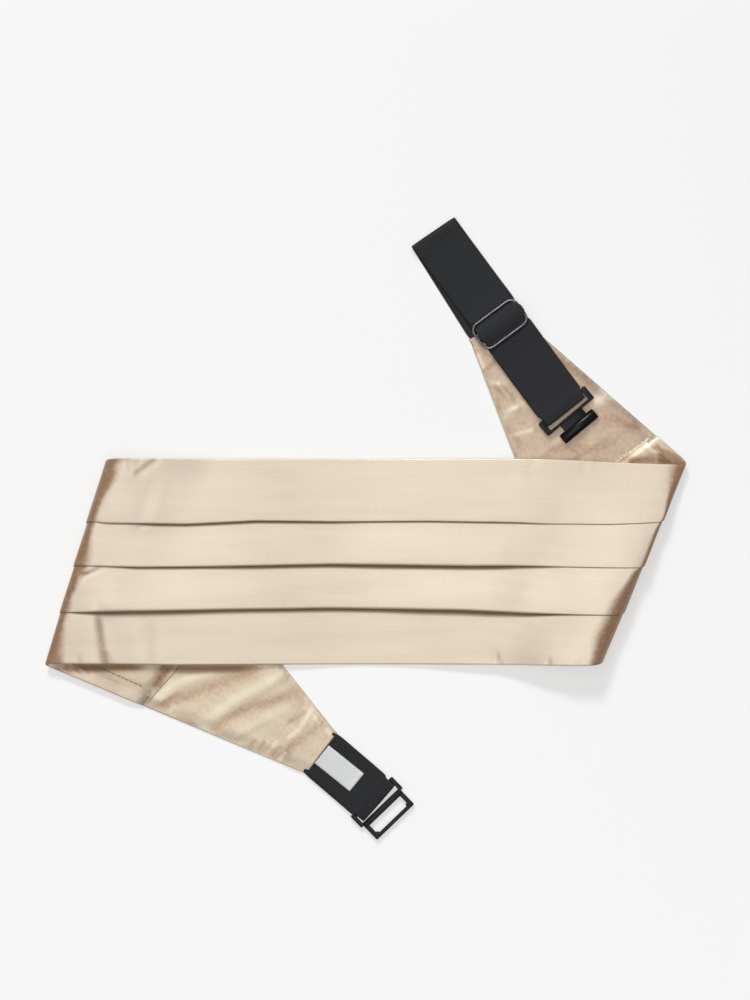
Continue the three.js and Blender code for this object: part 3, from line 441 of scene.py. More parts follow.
def cloth_mesh(name, rows, cloth_uv=0, wrapped=False, ends_closed=False):
    """A piece from rows of points and a map of the flat cloth, both in millimetres. In a wrapped
    piece every row is a closed ring."""
    rows = np.asarray(rows, float)
    count, across = rows.shape[:2]
    columns = across if wrapped else across - 1
    i, j = np.meshgrid(np.arange(count - 1), np.arange(columns), indexing="ij")
    k = (j + 1) % across
    faces = np.stack([i * across + j, i * across + k, (i + 1) * across + k, (i + 1) * across + j], -1)
    faces = faces.reshape(-1, 4).tolist()
    for first in (0, (count - 1) * across) if ends_closed else ():
        for low in range((across - 1) // 2):
            high = across - 1 - low
            quad = [first + low, first + low + 1, first + high - 1, first + high]
            if high - low == 2:
                quad.pop(1)
            faces.append(quad if first == 0 else quad[::-1])
    piece = new_piece(name, rows.reshape(-1, 3), faces)
    mesh = piece.data
    layer = mesh.uv_layers.new(name="cloth")
    flat = np.broadcast_to(cloth_uv, (count, across, 2)).reshape(-1, 2)
    corners = np.zeros(len(mesh.loops), dtype=np.int32)
    mesh.loops.foreach_get("vertex_index", corners)
    layer.data.foreach_set("uv", flat[corners].astype(np.float32).ravel())
    mesh.validate()
    if wrapped:
        face_outwards(piece)
    return piece


def give_points(piece, **numbers):
    """Keeps numbers at each point of a cloth, for its material."""
    for name, values in numbers.items():
        flat = np.concatenate([np.ravel(row) for row in values]).astype(np.float32)
        piece.data.attributes.new(name, "FLOAT", "POINT").data.foreach_set("value", flat)


def thicken(piece, thickness):
    """Gives an open sheet its cloth's thickness, half of it to each side."""
    solid = piece.modifiers.new("cloth_thickness", "SOLIDIFY")
    solid.thickness = thickness / 1000
    solid.offset = 0


def arc_length(line):
    """Distance of each point along its line."""
    steps = np.hypot(*np.diff(line, axis=0).T)
    return np.concatenate([[0], np.cumsum(steps)])


def linear(hex_colour):
    """An sRGB hex colour as the linear RGBA that the shader takes."""
    parts = [int(hex_colour[i:i + 2], 16) / 255 for i in (1, 3, 5)]
    return [c / 12.92 if c <= 0.04045 else ((c + 0.055) / 1.055) ** 2.4 for c in parts] + [1.0]


def add(tree, kind, inputs=(), **settings):
    """Adds a node, sets its settings, and links or fills its inputs."""
    made = tree.nodes.new("ShaderNode" + kind)
    for key, value in settings.items():
        setattr(made, key, value)
    for socket, value in dict(inputs).items():
        if isinstance(value, bpy.types.NodeSocket):
            tree.links.new(value, made.inputs[socket])
        else:
            made.inputs[socket].default_value = value
    return made


def new_material(name):
    """An empty material, and its tree."""
    material = bpy.data.materials.new(name)
    material.use_nodes = True
    material.node_tree.nodes.clear()
    return material, material.node_tree


def finish_material(material, tree, finish):
    """Adds the shader, with the finish that is given for its sockets, and the output."""
    shader = add(tree, "BsdfPrincipled", finish)
    add(tree, "OutputMaterial", {"Surface": shader.outputs[0]})
    return material


# Where most values of a noise pattern lie
NOISE = {"From Min": 0.3, "From Max": 0.7}

# Painted shade: the deep brown that the satin is painted inside its folds and close under the
# front's edges, for the shade there
FOLD_SHADE_BROWN = "#6E5130"


def woven_satin(name, facing, turned_shade_colour, streak, roughness):
    """Polyester satin with painted light: pale where it faces up, and painted brown where it turns off
    towards the side, for the shade there. The point value turned says how far it has turned, and so
    how brown it is painted, and a second point value how much painted shade it gets deep in a fold."""
    material, tree = new_material(name)
    cloth = add(tree, "UVMap", uv_map="cloth").outputs[0]

    def pattern(along, across, detail):
        """Noise with its number of waves for each millimetre along and across the floats."""
        sized = add(tree, "Mapping", {"Vector": cloth, "Scale": (along, across, 1.0)}).outputs[0]
        return add(tree, "TexNoise", {"Vector": sized, "Scale": 1.0, "Detail": detail}).outputs["Fac"]

    # The painted shade's change from pale to brown is made blotchy, 2 to 6 mm across, as floats that
    # lie unevenly make it
    off = add(tree, "Attribute", attribute_name="turned").outputs["Fac"]
    blotches = add(tree, "TexNoise", {"Vector": cloth, "Scale": 0.4, "Detail": 4.0})
    uneven = add(tree, "MapRange", {
        "Value": blotches.outputs["Fac"], **NOISE, "To Min": -0.2, "To Max": 0.2})
    spread = add(tree, "Math", {0: off, 1: uneven.outputs[0], 2: off}, operation="MULTIPLY_ADD")
    turned = add(tree, "MapRange", {
        "Value": spread.outputs[0], "From Min": 0.04, "From Max": 0.96, "To Min": 0.0, "To Max": 1.0})
    # Satin floats are 0.1 mm wide. Drawn 0.45 mm wide and 40 mm long, so that they show.
    streaks = pattern(0.025, 2.2, 4.0)
    bands = pattern(0.012, 0.11, 2.0)
    mixed = add(tree, "Math", {0: streaks, 1: bands}, operation="ADD")
    # Painted sheen: the colour is paler and darker along the floats' streaks and bands
    light = add(tree, "MapRange", {
        "Value": mixed.outputs[0], "From Min": 0.7, "From Max": 1.3,
        "To Min": 1 - streak, "To Max": 1 + streak})
    # Painted shade: the colour goes towards the brown as the cloth turns off
    colour = add(tree, "Mix", {
        "Factor": turned.outputs[0], "A": linear(facing), "B": linear(turned_shade_colour)}, data_type="RGBA")
    # Painted shade: inside the folds, and close under the front's edges, the colour is mixed to a deep
    # brown, for the shade there and the light the cloth throws on itself
    depth = add(tree, "Attribute", attribute_name="fold_depth")
    folded = add(tree, "Mix", {
        "Factor": depth.outputs["Fac"], "A": colour.outputs["Result"], "B": linear(FOLD_SHADE_BROWN)},
        data_type="RGBA")
    # Painted glints: loose ends of floats catching the light are painted as short paler and darker
    # specks, 2.5 mm by 0.6 mm
    glint = add(tree, "MapRange", {
        "Value": pattern(0.4, 1.7, 3.0), **NOISE, "To Min": 1 - 0.7 * streak, "To Max": 1 + 0.7 * streak})
    tone = add(tree, "Math", {0: light.outputs[0], 1: glint.outputs[0]}, operation="MULTIPLY")
    shaded = add(tree, "VectorMath", {0: folded.outputs["Result"], 1: tone.outputs[0]},
                 operation="MULTIPLY")
    # Weft ribs show as a very fine grain across the floats: drawn at 0.6 mm
    height = add(tree, "Math", {0: streaks, 1: pattern(1.6, 1.6, 3.0)}, operation="ADD")
    bump = add(tree, "Bump", {"Height": height.outputs[0], "Strength": 0.25, "Distance": 0.00012})
    return finish_material(material, tree, {
        "Base Color": shaded.outputs[0], "Metallic": 0.35, "Roughness": roughness,
        "Sheen Weight": 0.1, "Sheen Roughness": 0.4, "Normal": bump.outputs[0]})


def dress(piece, material, node, body="root"):
    """Gives a piece its material, hangs it under its body's empty, and hides the CAD part that it stands for,
    if there is one.
    """
    piece.data.materials.clear()
    piece.data.materials.append(material)
    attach(piece, body)
    if node:
        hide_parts(node)


def seam_press(end, x, y):
    """How much of its height the stack keeps as it is pressed down towards the wing's seam."""
    ex, ey = x * end.side, y * end.side
    past = ex - (end.reach + end.back - ey * SEAM_SLANT)
    run = 9.0 if end is LEFT else 4.0
    return 1 - 0.45 * ease((past + run) / run)


def slow_wave(points):
    """The lie of a pressed cloth: long, shallow swells of a few tenths of a millimetre."""
    x, y = points[..., 0], points[..., 1]
    return (0.16 * np.sin(x / 17 + y / 31) + 0.14 * np.sin(x / 41 - y / 19 + 1.3)
            + 0.09 * np.sin(x / 7.5 + y / 11 + 0.7))


def panel_line(end, top_x, top_y, bottom_x, bottom_y, below, height, lie, deepest):
    """One line across the panel, laid, pressed and creased: its flat x and y, its points in the
    frame, and how far each lies beneath the front. lie gives the height of what creases the side
    that faces up, and deepest is the most that creases press into the turned-over side."""
    x = top_x + (bottom_x - top_x) * below / (top_y - bottom_y)
    y = top_y - below
    points = lay(end, x, y, height)
    points[:, 2] *= seam_press(end, x, y)
    points += FRAME_SHIFT
    theta = end.polar(x * end.side, y * end.side)[1]
    points[:, 2] += ease(1 - theta / (end.turn * 0.5)) * lie(points)
    turned_over = ease((theta - end.turn * 0.7) / (end.turn * 0.3))
    points[:, 2] += turned_over * np.maximum(crease_height(points, BACK_CREASES), deepest)
    points[:, 2] = np.maximum(points[:, 2], LOWEST)
    return x, y, points, ease((theta - end.turn * 0.45) / (end.turn * 0.1))


def front_lie(points):
    return crease_height(points, FRONT_CREASES) + fold_step(points, FRONT_FOLDS) + slow_wave(points)


rows, flat, deep_shade, turned = [], [], [], []
for end, top_x, top_y, bottom_x, bottom_y in panel_stations(84, 16, 12):
    line, depth = pleat_line(top_y - bottom_y, (top_x + bottom_x) / 2)
    x, y, points, beneath = panel_line(
        end, top_x, top_y, bottom_x, bottom_y, line[:, 0], line[:, 1], front_lie, -0.3)
    # Painted shade: the front is painted brown at its rolled ends and soft creases, its turned-over part
    # brown beside the front and along the seam's strip, and deep brown close under the front's edges
    edge_shade = np.clip(beneath * crease_height(points, EDGE_SHADE), 0, 1)
    shade = (1 - beneath) * crease_height(points, FRONT_PAINTED_SHADE) + beneath * crease_height(points, BACK_PAINTED_SHADE)
    rows.append(points)
    flat.append(np.stack([x, arc_length(line)], axis=1))
    deep_shade.append(np.maximum(depth, edge_shade))
    turned.append(np.clip(painted_turn_shade(end, x, y) + shade, 0, 1))
front = cloth_mesh("satin_front", rows, flat)
give_points(front, fold_depth=deep_shade, turned=turned)
thicken(front, SATIN_THICKNESS)
# Painted light: the front, the lining and each wing take their own copy of this satin, with a pale and a
# brown set for the light that each part gets
champagne_satin = woven_satin("champagne polyester satin, pressed", "#D7C8B4", "#A07E62", 0.05, 0.42)
dress(front, champagne_satin, "front_pleats")


# The lining: one flat strip of the same satin that closes the back between the two hems. Its
# edges are tucked under the hems, and its ends are turned down over the seams of the wings.
LINING_HEIGHT = 0.85
LINING_TUCK = 2.5
# Painted shade: the lining's left end is painted browner than its right, by this amount
LEFT_END_PAINTED_SHADE = 0.25


def lining_lie(points):
    """The lining follows the front's soft steps, and only those creases that go down."""
    return fold_step(points, FRONT_FOLDS) + np.minimum(crease_height(points, FRONT_CREASES), 0)


stations = panel_stations(60, 12, 24)
for end in (LEFT, RIGHT):
    seam = end.seam()
    extra = [station(end, seam[0] + d, seam[1] + d) for d in (0.6, 1.2)]
    stations = extra[::-1] + stations if end is LEFT else stations + extra
rows, flat, deep_shade, turned = [], [], [], []
for end, top_x, top_y, bottom_x, bottom_y in stations:
    width = top_y - bottom_y
    tuck = LINING_TUCK - 0.15
    below = np.concatenate([[HEM - LINING_TUCK], np.linspace(HEM - tuck, width - HEM + tuck, 56),
                            [width - HEM + LINING_TUCK]])
    x, y, points, beneath = panel_line(
        end, top_x, top_y, bottom_x, bottom_y, below, LINING_HEIGHT + 0 * below, lining_lie, -0.5)
    # Painted shade: the lining is painted browner at its left end, beside the front and along the seam's
    # strip, and deep brown close under the front's edges
    end_shade = LEFT_END_PAINTED_SHADE if end is LEFT else 0.0
    rows.append(points)
    flat.append(np.stack([x, below], axis=1))
    deep_shade.append(np.clip(beneath * crease_height(points, EDGE_SHADE), 0, 1))
    turned.append(np.clip(end_shade + beneath * crease_height(points, BACK_PAINTED_SHADE), 0, 1))
lining = cloth_mesh("satin_lining", rows, flat)
give_points(lining, turned=turned, fold_depth=deep_shade)
thicken(lining, SATIN_THICKNESS)
# Painted light: the lining's copy of the satin, with its own pale and brown for the light it gets
lining_satin = woven_satin("champagne polyester satin, lining", "#D6C5AD", "#8E6E50", 0.07, 0.4)
dress(lining, lining_satin, "panel_lining")


# The wings: each is a tapered tube of satin, pressed flat and sewn to the panel's end. The
# strap goes into its open tip. The cloth ripples slantwise where the fold pulls at it.
LEFT_RIPPLES = (
    (-107.8, -120.5, -44.2, -83.3, 5, 0.7), (-116.2, -107.3, -77.8, -88.7, 4.2, -0.6),
    (-96.4, -119.9, -58.6, -107.3, 3.8, -0.5), (-58.6, -107.3, -37.6, -97.1, 3.6, -0.5),
    (-82.6, -125.3, -44.2, -107.9, 3.5, 0.45), (-124.6, -104.9, -113.8, -97.1, 2, 0.5),
    (-32.2, -107.9, -46.6, -134.3, 1.8, 0.5), (-28.6, -111.5, -41.2, -134.3, 1.2, -0.4),
    (-35.8, -105.5, -53.2, -128.3, 1.8, -0.35), (-22.6, -116.3, -26.2, -122.3, 0.9, 0.4),
    (-19, -120.5, -23.8, -125.9, 0.9, 0.4), (-50.8, -129.5, -55.6, -139.1, 1, 0.4),
    (-46.6, -133.1, -49, -142.1, 1, -0.4), (-44.2, -134.3, -45.4, -140.3, 0.9, 0.4),
    (-62.2, -125.9, -71.8, -132.5, 1.2, 0.3),
)
RIGHT_RIPPLES = (
    (78.8, 86.5, 87.8, 76.9, 2.2, 0.5), (81.8, 68.5, 92.6, 72.1, 1.4, 0.5),
    (87.8, 54.7, 102.2, 58.9, 1.6, 0.5), (83.6, 43.9, 116.6, 48.7, 4, -0.5),
    (66.2, 106.9, 73.4, 99.7, 1.2, 0.5), (98.6, 45.7, 140.6, 61.9, 4.5, 0.5),
    (140.6, 78.1, 164.6, 62.5, 3, 0.6), (107.6, 106.9, 140.6, 79.3, 2.2, 0.35),
    (140.6, 69.7, 127.4, 45.7, 4, -0.4), (146.6, 52.9, 125.6, 39.7, 1.8, -0.4),
    (101.6, 84.1, 116.6, 70.9, 4, -0.4),
)

# Painted light on the wings: broad soft bands of painted shade, where the satin is browner, and of
# painted highlight, paler, where the amount has a minus: two ends, half width and how much
LEFT_WING_PAINTED_LIGHT = (
    (-126.4, -103.1, -115.6, -92.9, 2.4, -0.45), (-115.6, -92.9, -91, -86.3, 2.4, -0.4),
    (-122.2, -106.7, -101.2, -98.9, 3.3, 0.35), (-101.2, -98.9, -65.2, -85.1, 3.9, 0.4),
    (-111.4, -85.6, -64.6, -84.3, 1.8, 0.85), (-100, -119.3, -79.6, -103.1, 3, -0.5),
    (-79.6, -103.1, -59.2, -92.3, 3, -0.4), (-59.2, -92.3, -49.6, -85.7, 2.7, -0.45),
    (-92.2, -121.1, -71.2, -107.3, 3, 0.35), (-71.2, -107.3, -37.6, -98.9, 3.6, 0.38),
    (-79.6, -124.7, -46.6, -108.5, 3.6, -0.22), (-47.2, -126.5, -39.4, -119.9, 1.2, -0.5),
    (-39.4, -119.9, -32.2, -107.9, 1.2, -0.6), (-45.4, -116.9, -35.2, -109.1, 1.5, 0.35),
    (-50.2, -134.3, -34.6, -124.1, 3, 0.35), (-34.6, -124.1, -26.2, -115.1, 2.4, 0.35),
    (-31, -112.7, -27.4, -117.5, 1.2, -0.45), (-23.8, -119.9, -20.8, -124.1, 1.3, -0.5),
    (-69.4, -130.1, -65.8, -126.5, 0.7, 0.5), (-64.6, -133.1, -59.8, -127.7, 0.7, 0.55),
    (-67, -131.3, -62.8, -127.1, 0.7, -0.5), (-58.6, -134.3, -52.6, -127.1, 0.8, -0.5),
    (-56.2, -136.7, -51.4, -130.7, 0.8, 0.5), (-52, -139.1, -47.8, -134.3, 0.8, -0.5),
    (-118.6, -110.3, -113.8, -106.7, 1.5, -0.35), (-101.8, -116.3, -98.2, -119.3, 1.2, -0.4),
)
RIGHT_WING_PAINTED_LIGHT = (
    (66.8, 104.5, 71, 95.5, 1.3, -0.5), (75.2, 87.1, 84.8, 86.5, 1.4, -0.45),
    (81.2, 66.1, 94.4, 75.1, 2.1, -0.4), (87.2, 54.7, 100.4, 58.9, 1.8, -0.4),
    (78.2, 78.1, 80.6, 70.9, 1.3, 0.3), (83.6, 61.9, 92.6, 49.9, 2.4, 0.2),
    (134.6, 75.7, 150.2, 79.9, 3, -0.6), (140.6, 82.9, 144.8, 78.1, 2.4, -0.4),
    (116.6, 100.9, 138.2, 86.5, 2.4, 0.25), (136.4, 67.3, 161, 62.5, 4.2, 0.22),
    (107.6, 46.9, 134.6, 48.7, 3.6, 0.2), (102.2, 43.3, 116.6, 52.9, 1.8, -0.25),
    (155, 62.5, 164.6, 59.5, 1.2, 0.5), (149.6, 52.9, 134.6, 43.9, 1.8, 0.25),
)


# Rows of points from the seam to the tip, and the places of the points across a cloth, which
# draw together at its two edges
WING_ROWS = 110
ACROSS_WING = np.linspace(0, 1, 84)
ACROSS_WING = 0.5 - 0.5 * np.sign(1 - 2 * ACROSS_WING) * np.abs(1 - 2 * ACROSS_WING) ** 0.85

# Heights of the wing: its lower cloth, its edge, and how much it rises inwards and at the strap
WING_FLOOR, WING_EDGE, WING_RISE, STRAP_SWELL = 0.12, 0.95, 0.8, 1.05


def make_wing(name, end, ripples, painted_light, base_shade):
    """A flat tube: rows run from the seam to the tip, and each goes round both its cloths."""
    seam = end.seam()
    tip = (end.tip_x + 1.6 - end.tip_slant, end.tip_x + 1.6 + end.tip_slant)
    rows, flat, turned, deep_shade = [], [], [], []
    s = ACROSS_WING
    for t in np.linspace(0, 1, WING_ROWS):
        tight_x = (seam[0] - 2.0) * (1 - t) + tip[0] * t
        loose_x = (seam[1] - 2.0) * (1 - t) + tip[1] * t
        x = tight_x + (loose_x - tight_x) * s
        y = end.tight_edge(tight_x) * (1 - s) + end.loose_edge(loose_x) * s
        edge = np.minimum(s, 1 - s) * (end.tight_edge(tight_x) - end.loose_edge(loose_x))
        px, py = end.under(x, y)
        top = np.stack([px * end.side, py * end.side, 0 * px], axis=-1) + FRAME_SHIFT
        to_tip = end.tip_x - x
        swell = STRAP_SWELL * ease((18 - to_tip) / 6) * ease(edge / 0.4)
        calm = ease((to_tip - 10) / 14)
        long_way = top @ np.array([0.5, -0.87, 0])
        waves = 0.2 * np.sin(long_way / 3.1 + 0.9 * np.sin(x / 15)) + 0.1 * np.sin(long_way / 1.3 + x / 9)
        ripple = (crease_height(top, ripples) + 0.6 * waves) * calm * ease(edge / 3)
        pucker = 0.13 * np.sin(x * 1.7 + 2 * np.sin(x / 4)) * ease(1 - edge / 6) * ease((to_tip - 3) / 5)
        bottom = top[::-1].copy()
        top[:, 2] = WING_EDGE + WING_RISE * ease(edge / 9) + swell + pucker + np.maximum(ripple, -1.1)
        bottom[:, 2] = WING_FLOOR
        rows.append(np.concatenate([top, bottom]))
        # Painted light: the top cloth is painted browner and paler by its bands, about a base amount of
        # painted shade, and deep brown close under the front's edge
        turned += [np.clip(base_shade + crease_height(top, painted_light), 0, 1), np.full(len(s), 0.5)]
        deep_shade += [np.clip(crease_height(top, EDGE_SHADE), 0, 1), np.zeros(len(s))]
        flat.append(np.concatenate([np.stack([x, y], -1), np.stack([x, y + 120], -1)[::-1]]))
    wing = cloth_mesh(name, rows, flat, wrapped=True, ends_closed=True)
    give_points(wing, turned=turned, fold_depth=deep_shade)
    return wing


left_wing = make_wing("satin_wing_left", LEFT, LEFT_RIPPLES, LEFT_WING_PAINTED_LIGHT, 0.45)
right_wing = make_wing("satin_wing_right", RIGHT, RIGHT_RIPPLES, RIGHT_WING_PAINTED_LIGHT, 0.62)
# Painted light: each wing's copy of the satin has its own pale and brown for the light it gets
left_satin = woven_satin("champagne polyester satin, rippled", "#DCD0B9", "#B3967B", 0.08, 0.4)
right_satin = woven_satin("champagne polyester satin, shaded", "#DACBB5", "#A98B73", 0.08, 0.4)
dress(left_wing, left_satin, "left_wing")
dress(right_wing, right_satin, "right_wing")


# The threads that show, all spun polyester: an overlock along the right wing's free edge, loose
# yarns that stand out of the cut edge beside its seam, and the stitches of the left hem.
THREAD = 0.42
THREAD_SIDES = 6
ARCH = 0.45


def mottle(tree, colour, pattern, low, high, span=NOISE):
    """A colour made darker and paler by a pattern, from low to high times itself."""
    tone = add(tree, "MapRange", {"Value": pattern, **span, "To Min": low, "To Max": high})
    return add(tree, "VectorMath", {0: colour, 1: tone.outputs[0]}, operation="MULTIPLY").outputs[0]


def spun_thread(name, colour):
    """Spun polyester thread: dull and a little hairy, lighter than the satin beside it."""
    material, tree = new_material(name)
    place = add(tree, "TexCoord")
    # Twist of about 0.4 mm, drawn as it is
    twist = add(tree, "TexNoise", {"Vector": place.outputs["Object"], "Scale": 2500.0, "Detail": 1.0})
    shaded = mottle(tree, linear(colour)[:3], twist.outputs["Fac"], 0.85, 1.1)
    return finish_material(material, tree, {"Base Color": shaded, "Roughness": 0.7})


def sewn_threads(name, line, spacing, length, lean, floor, wander=0.0):
    """Short arched threads laid across a line of the frame, one every spacing millimetres."""
    chance = np.random.default_rng(7)
    line = np.array(line, float)
    run = arc_length(line)
    points, faces = [], []
    turns = np.arange(THREAD_SIDES)
    for at in np.arange(spacing / 2, run[-1], spacing):
        middle = np.array([np.interp(at, run, line[:, 0]), np.interp(at, run, line[:, 1])])
        nearest = max(np.searchsorted(run, at), 1)
        ahead = np.arctan2(*(line[nearest] - line[nearest - 1])[::-1])
        way = ahead + np.radians(90 + lean + wander * chance.uniform(-40, 40))
        reach = length * (1 + wander * chance.uniform(-0.5, 0.7)) / 2
        middle = middle + wander * chance.uniform(-0.7, 0.7, 2)
        along, side = np.array([np.cos(way), np.sin(way)]), np.array([-np.sin(way), np.cos(way)])
        for t in (-1, -0.6, 0, 0.6, 1):
            high = floor + THREAD / 2 + ARCH * (1 - t * t)
            thin = THREAD / 2 * (0.5 if abs(t) == 1 else 1.0)
            for angle in np.pi * turns / 3:
                flat = middle + along * reach * t + side * thin * np.cos(angle)
                points.append((*flat, high + thin * np.sin(angle)))
        first = len(points) - 5 * THREAD_SIDES
        for low in range(first, first + 4 * THREAD_SIDES, THREAD_SIDES):
            for i, k in zip(turns.tolist(), np.roll(turns, -1).tolist()):
                faces.append([low + i, low + k, low + THREAD_SIDES + k, low + THREAD_SIDES + i])
        last = len(points) - THREAD_SIDES
        faces += [[first + i for i in turns.tolist()[::-1]], [last + i for i in turns.tolist()]]
    piece = new_piece(name, points, faces)
    face_outwards(piece)
    return piece


seam_top, seam_low = RIGHT.seam()
free_edge, raw_edge = [], []
for x in np.linspace(seam_low + 2, RIGHT.tip_x + RIGHT.tip_slant - 3, 12):
    free_edge.append(RIGHT.under(x, RIGHT.loose_edge(x) + 0.5) + FRAME_SHIFT[:2])
for t in np.linspace(0.02, 0.9, 8):
    x = seam_top + (seam_low - seam_top) * t
    y = RIGHT.tight_edge(seam_top) * (1 - t) + RIGHT.loose_edge(seam_low) * t
    raw_edge.append(RIGHT.under(x + 0.8, y) + FRAME_SHIFT[:2])
hem = [(-160.0, -83.0), (-134.5, -94.3)]
overlock = sewn_threads("thread_overlock", free_edge, 1.3, 2.1, 25, 1.1)
loose_yarns = sewn_threads("thread_loose_yarns", raw_edge, 0.8, 2.6, 10, 2.2, wander=1.0)
hem_stitches = sewn_threads("thread_hem_stitches", hem, 2.9, 2.4, -90, 4.35)
cream_thread = spun_thread("cream polyester thread, spun", "#EDE1CB")
brown_thread = spun_thread("brown polyester thread, spun", "#7C654C")
dress(overlock, cream_thread, None)
dress(loose_yarns, cream_thread, None)
dress(hem_stitches, brown_thread, None)


# The left strap: flat rubber elastic covered in black polyester, woven with lengthwise ribs.
# It is sewn into the wing's tip, goes round the loop clasp's bar and ends beneath itself.
ELASTIC = 0.95
LEFT_STRAP_LENGTH = 41.0
STRAP_WAIST = 28.4
BAR_WIDTH, BAR_FLOOR, BAR_HEIGHT = 3.0, 1.3, 1.6

# Height of a strap's middle in the wing's mouth and on the table, and the distance from a bar
# or wire to the middle of the strap that goes round it
IN_WING, ON_TABLE, CLEAR = 1.8, 0.5, 0.8


def strap_line(end, x, y, heading):
    """Turns distance along a strap, distance across it and height into a point of the frame."""
    c, s = np.cos(heading), np.sin(heading)

    def at(along, across, z):
        px, py = end.under(x + along * c - across * s, y + along * s + across * c)
        return np.array([px * end.side, py * end.side, z]) + FRAME_SHIFT
    return at


def out_of_wing(skew):
    """The start of a strap's way: a little narrower while it is inside the wing's tip."""
    return [(-11.7, IN_WING, 28.6, skew), (-0.5, IN_WING, 29.4), (2.5, IN_WING)]


def turn_round_bar(start, floor, skew, slack):
    """The strap's way over a clasp's bar, down through the slot and back beneath."""
    over, beneath = floor + BAR_FLOOR + BAR_HEIGHT + CLEAR, floor + BAR_FLOOR - CLEAR
    far = BAR_WIDTH + CLEAR + slack
    rows = ((-0.5, over), (far - CLEAR, over), (far, over - CLEAR), (far, (over + beneath) / 2),
            (far, beneath + CLEAR), (far - CLEAR, beneath), (-0.5, beneath))
    return [(start + along, z, STRAP_WAIST, skew) for along, z in rows]


def cut_corners(values, times):
    """Rounds a line of points off by cutting its corners, and keeps its two ends."""
    for _ in range(times):
        near = values[:-1] * 0.75 + values[1:] * 0.25
        far = values[:-1] * 0.25 + values[1:] * 0.75
        between = np.stack([near, far], axis=1).reshape(-1, *values.shape[1:])
        values = np.concatenate([values[:1], between, values[-1:]])
    return values


def strap_piece(name, lefts, rights, thickness):
    """A band between two side lines, with its own thickness and softly rounded edges."""
    sides = cut_corners(np.stack([np.array(lefts), np.array(rights)], axis=1), 2)
    left, right = sides[:, 0], sides[:, 1]
    middle = (left + right) / 2
    across = left - right
    normal = np.cross(np.gradient(middle, axis=0), across)
    normal /= np.linalg.norm(normal, axis=1, keepdims=True) + 1e-12
    s = np.linspace(1, -1, 15)
    half = thickness / 2 * (1 - 0.55 * np.abs(s) ** 8)
    run = np.concatenate([[0], np.cumsum(np.linalg.norm(np.diff(middle, axis=0), axis=1))])
    rows, flat = [], []
    for i in range(len(middle)):
        centre = middle[i] + np.outer(s / 2, across[i])
        thick = np.outer(half, normal[i])
        rows.append(np.concatenate([centre + thick, (centre - thick)[::-1]]))
        reach = s * np.linalg.norm(across[i]) / 2
        flat.append(np.stack([np.full(30, run[i]), np.concatenate([reach, reach[::-1] + 60])], axis=1))
    return cloth_mesh(name, rows, flat, wrapped=True, ends_closed=True)


def sides_of(at, rows, flip=False):
    """The two side points of every row of a strap's way. A row holds distance and height, then
    width and skew in degrees where these aren't the strap's own width and 0."""
    lefts, rights = [], []
    for row in rows:
        along, z, width, skew = (*row, *(STRAP_WIDTH, 0)[len(row) - 2:])
        lean = np.tan(np.radians(skew))
        half = width / 2
        lefts.append(at(along + half * lean, half, z))
        rights.append(at(along - half * lean, -half, z))
    return (rights, lefts) if flip else (lefts, rights)


def ribbed_elastic(name, colour, shine):
    """Woven elastic: matte black polyester with shallow lengthwise ribs and a fine weft."""
    material, tree = new_material(name)
    cloth = add(tree, "UVMap", uv_map="cloth").outputs[0]
    parts = add(tree, "SeparateXYZ", {0: cloth})
    # Ribs are 1.1 mm apart across the strap, drawn at 1.35 mm, so that they show
    across = add(tree, "Math", {0: parts.outputs["Y"], 1: 2 * np.pi / 1.35}, operation="MULTIPLY")
    ribs = add(tree, "Math", {0: across.outputs[0]}, operation="SINE")
    # Weft threads are 0.25 mm apart, drawn at 1.3 mm, so that they show
    along = add(tree, "Math", {0: parts.outputs["X"], 1: 2 * np.pi / 1.3}, operation="MULTIPLY")
    weft = add(tree, "Math", {0: along.outputs[0]}, operation="SINE")
    weak = add(tree, "Math", {0: weft.outputs[0], 1: 0.35}, operation="MULTIPLY")
    height = add(tree, "Math", {0: ribs.outputs[0], 1: weak.outputs[0]}, operation="ADD")
    # Painted shade and highlight: the colour is darker in the grooves between ribs and weft, and paler on
    # their tops
    level = add(tree, "MapRange", {
        "Value": height.outputs[0], "From Min": -1.3, "From Max": 1.3, "To Min": 0.45, "To Max": 1.55})
    # Lint and uneven tension make it patchy, over about 2 mm
    lint = add(tree, "TexNoise", {"Vector": cloth, "Scale": 0.6, "Detail": 3.0})
    patchy = add(tree, "MapRange", {"Value": lint.outputs["Fac"], **NOISE, "To Min": 0.85, "To Max": 1.15})
    tone = add(tree, "Math", {0: level.outputs[0], 1: patchy.outputs[0]}, operation="MULTIPLY")
    shaded = add(tree, "VectorMath", {0: linear(colour)[:3], 1: tone.outputs[0]}, operation="MULTIPLY")
    bump = add(tree, "Bump", {"Height": height.outputs[0], "Strength": 0.6, "Distance": 0.00018})
    return finish_material(material, tree, {
        "Base Color": shaded.outputs[0], "Roughness": 0.82, "Specular IOR Level": shine,
        "Sheen Weight": 0.08, "Sheen Roughness": 0.5, "Normal": bump.outputs[0]})


left_at = strap_line(LEFT, LEFT.tip_x, LEFT.tip_y, LEFT.strap_heading)
left_way = out_of_wing(3.3) + [
    (15, IN_WING), (29, IN_WING), (37, IN_WING + 0.8), (39.3, 3.2, STRAP_WIDTH - 0.2)]
left_way += turn_round_bar(LEFT_STRAP_LENGTH, 0.0, -0.7, 2.3)
left_way += [(35, ON_TABLE, STRAP_WAIST), (15, ON_TABLE, STRAP_WAIST)]
left_strap = strap_piece("elastic_strap_left", *sides_of(left_at, left_way), ELASTIC)
black_elastic = ribbed_elastic("black ribbed elastic, woven", "#292A2C", 0.2)
dress(left_strap, black_elastic, "left_strap")


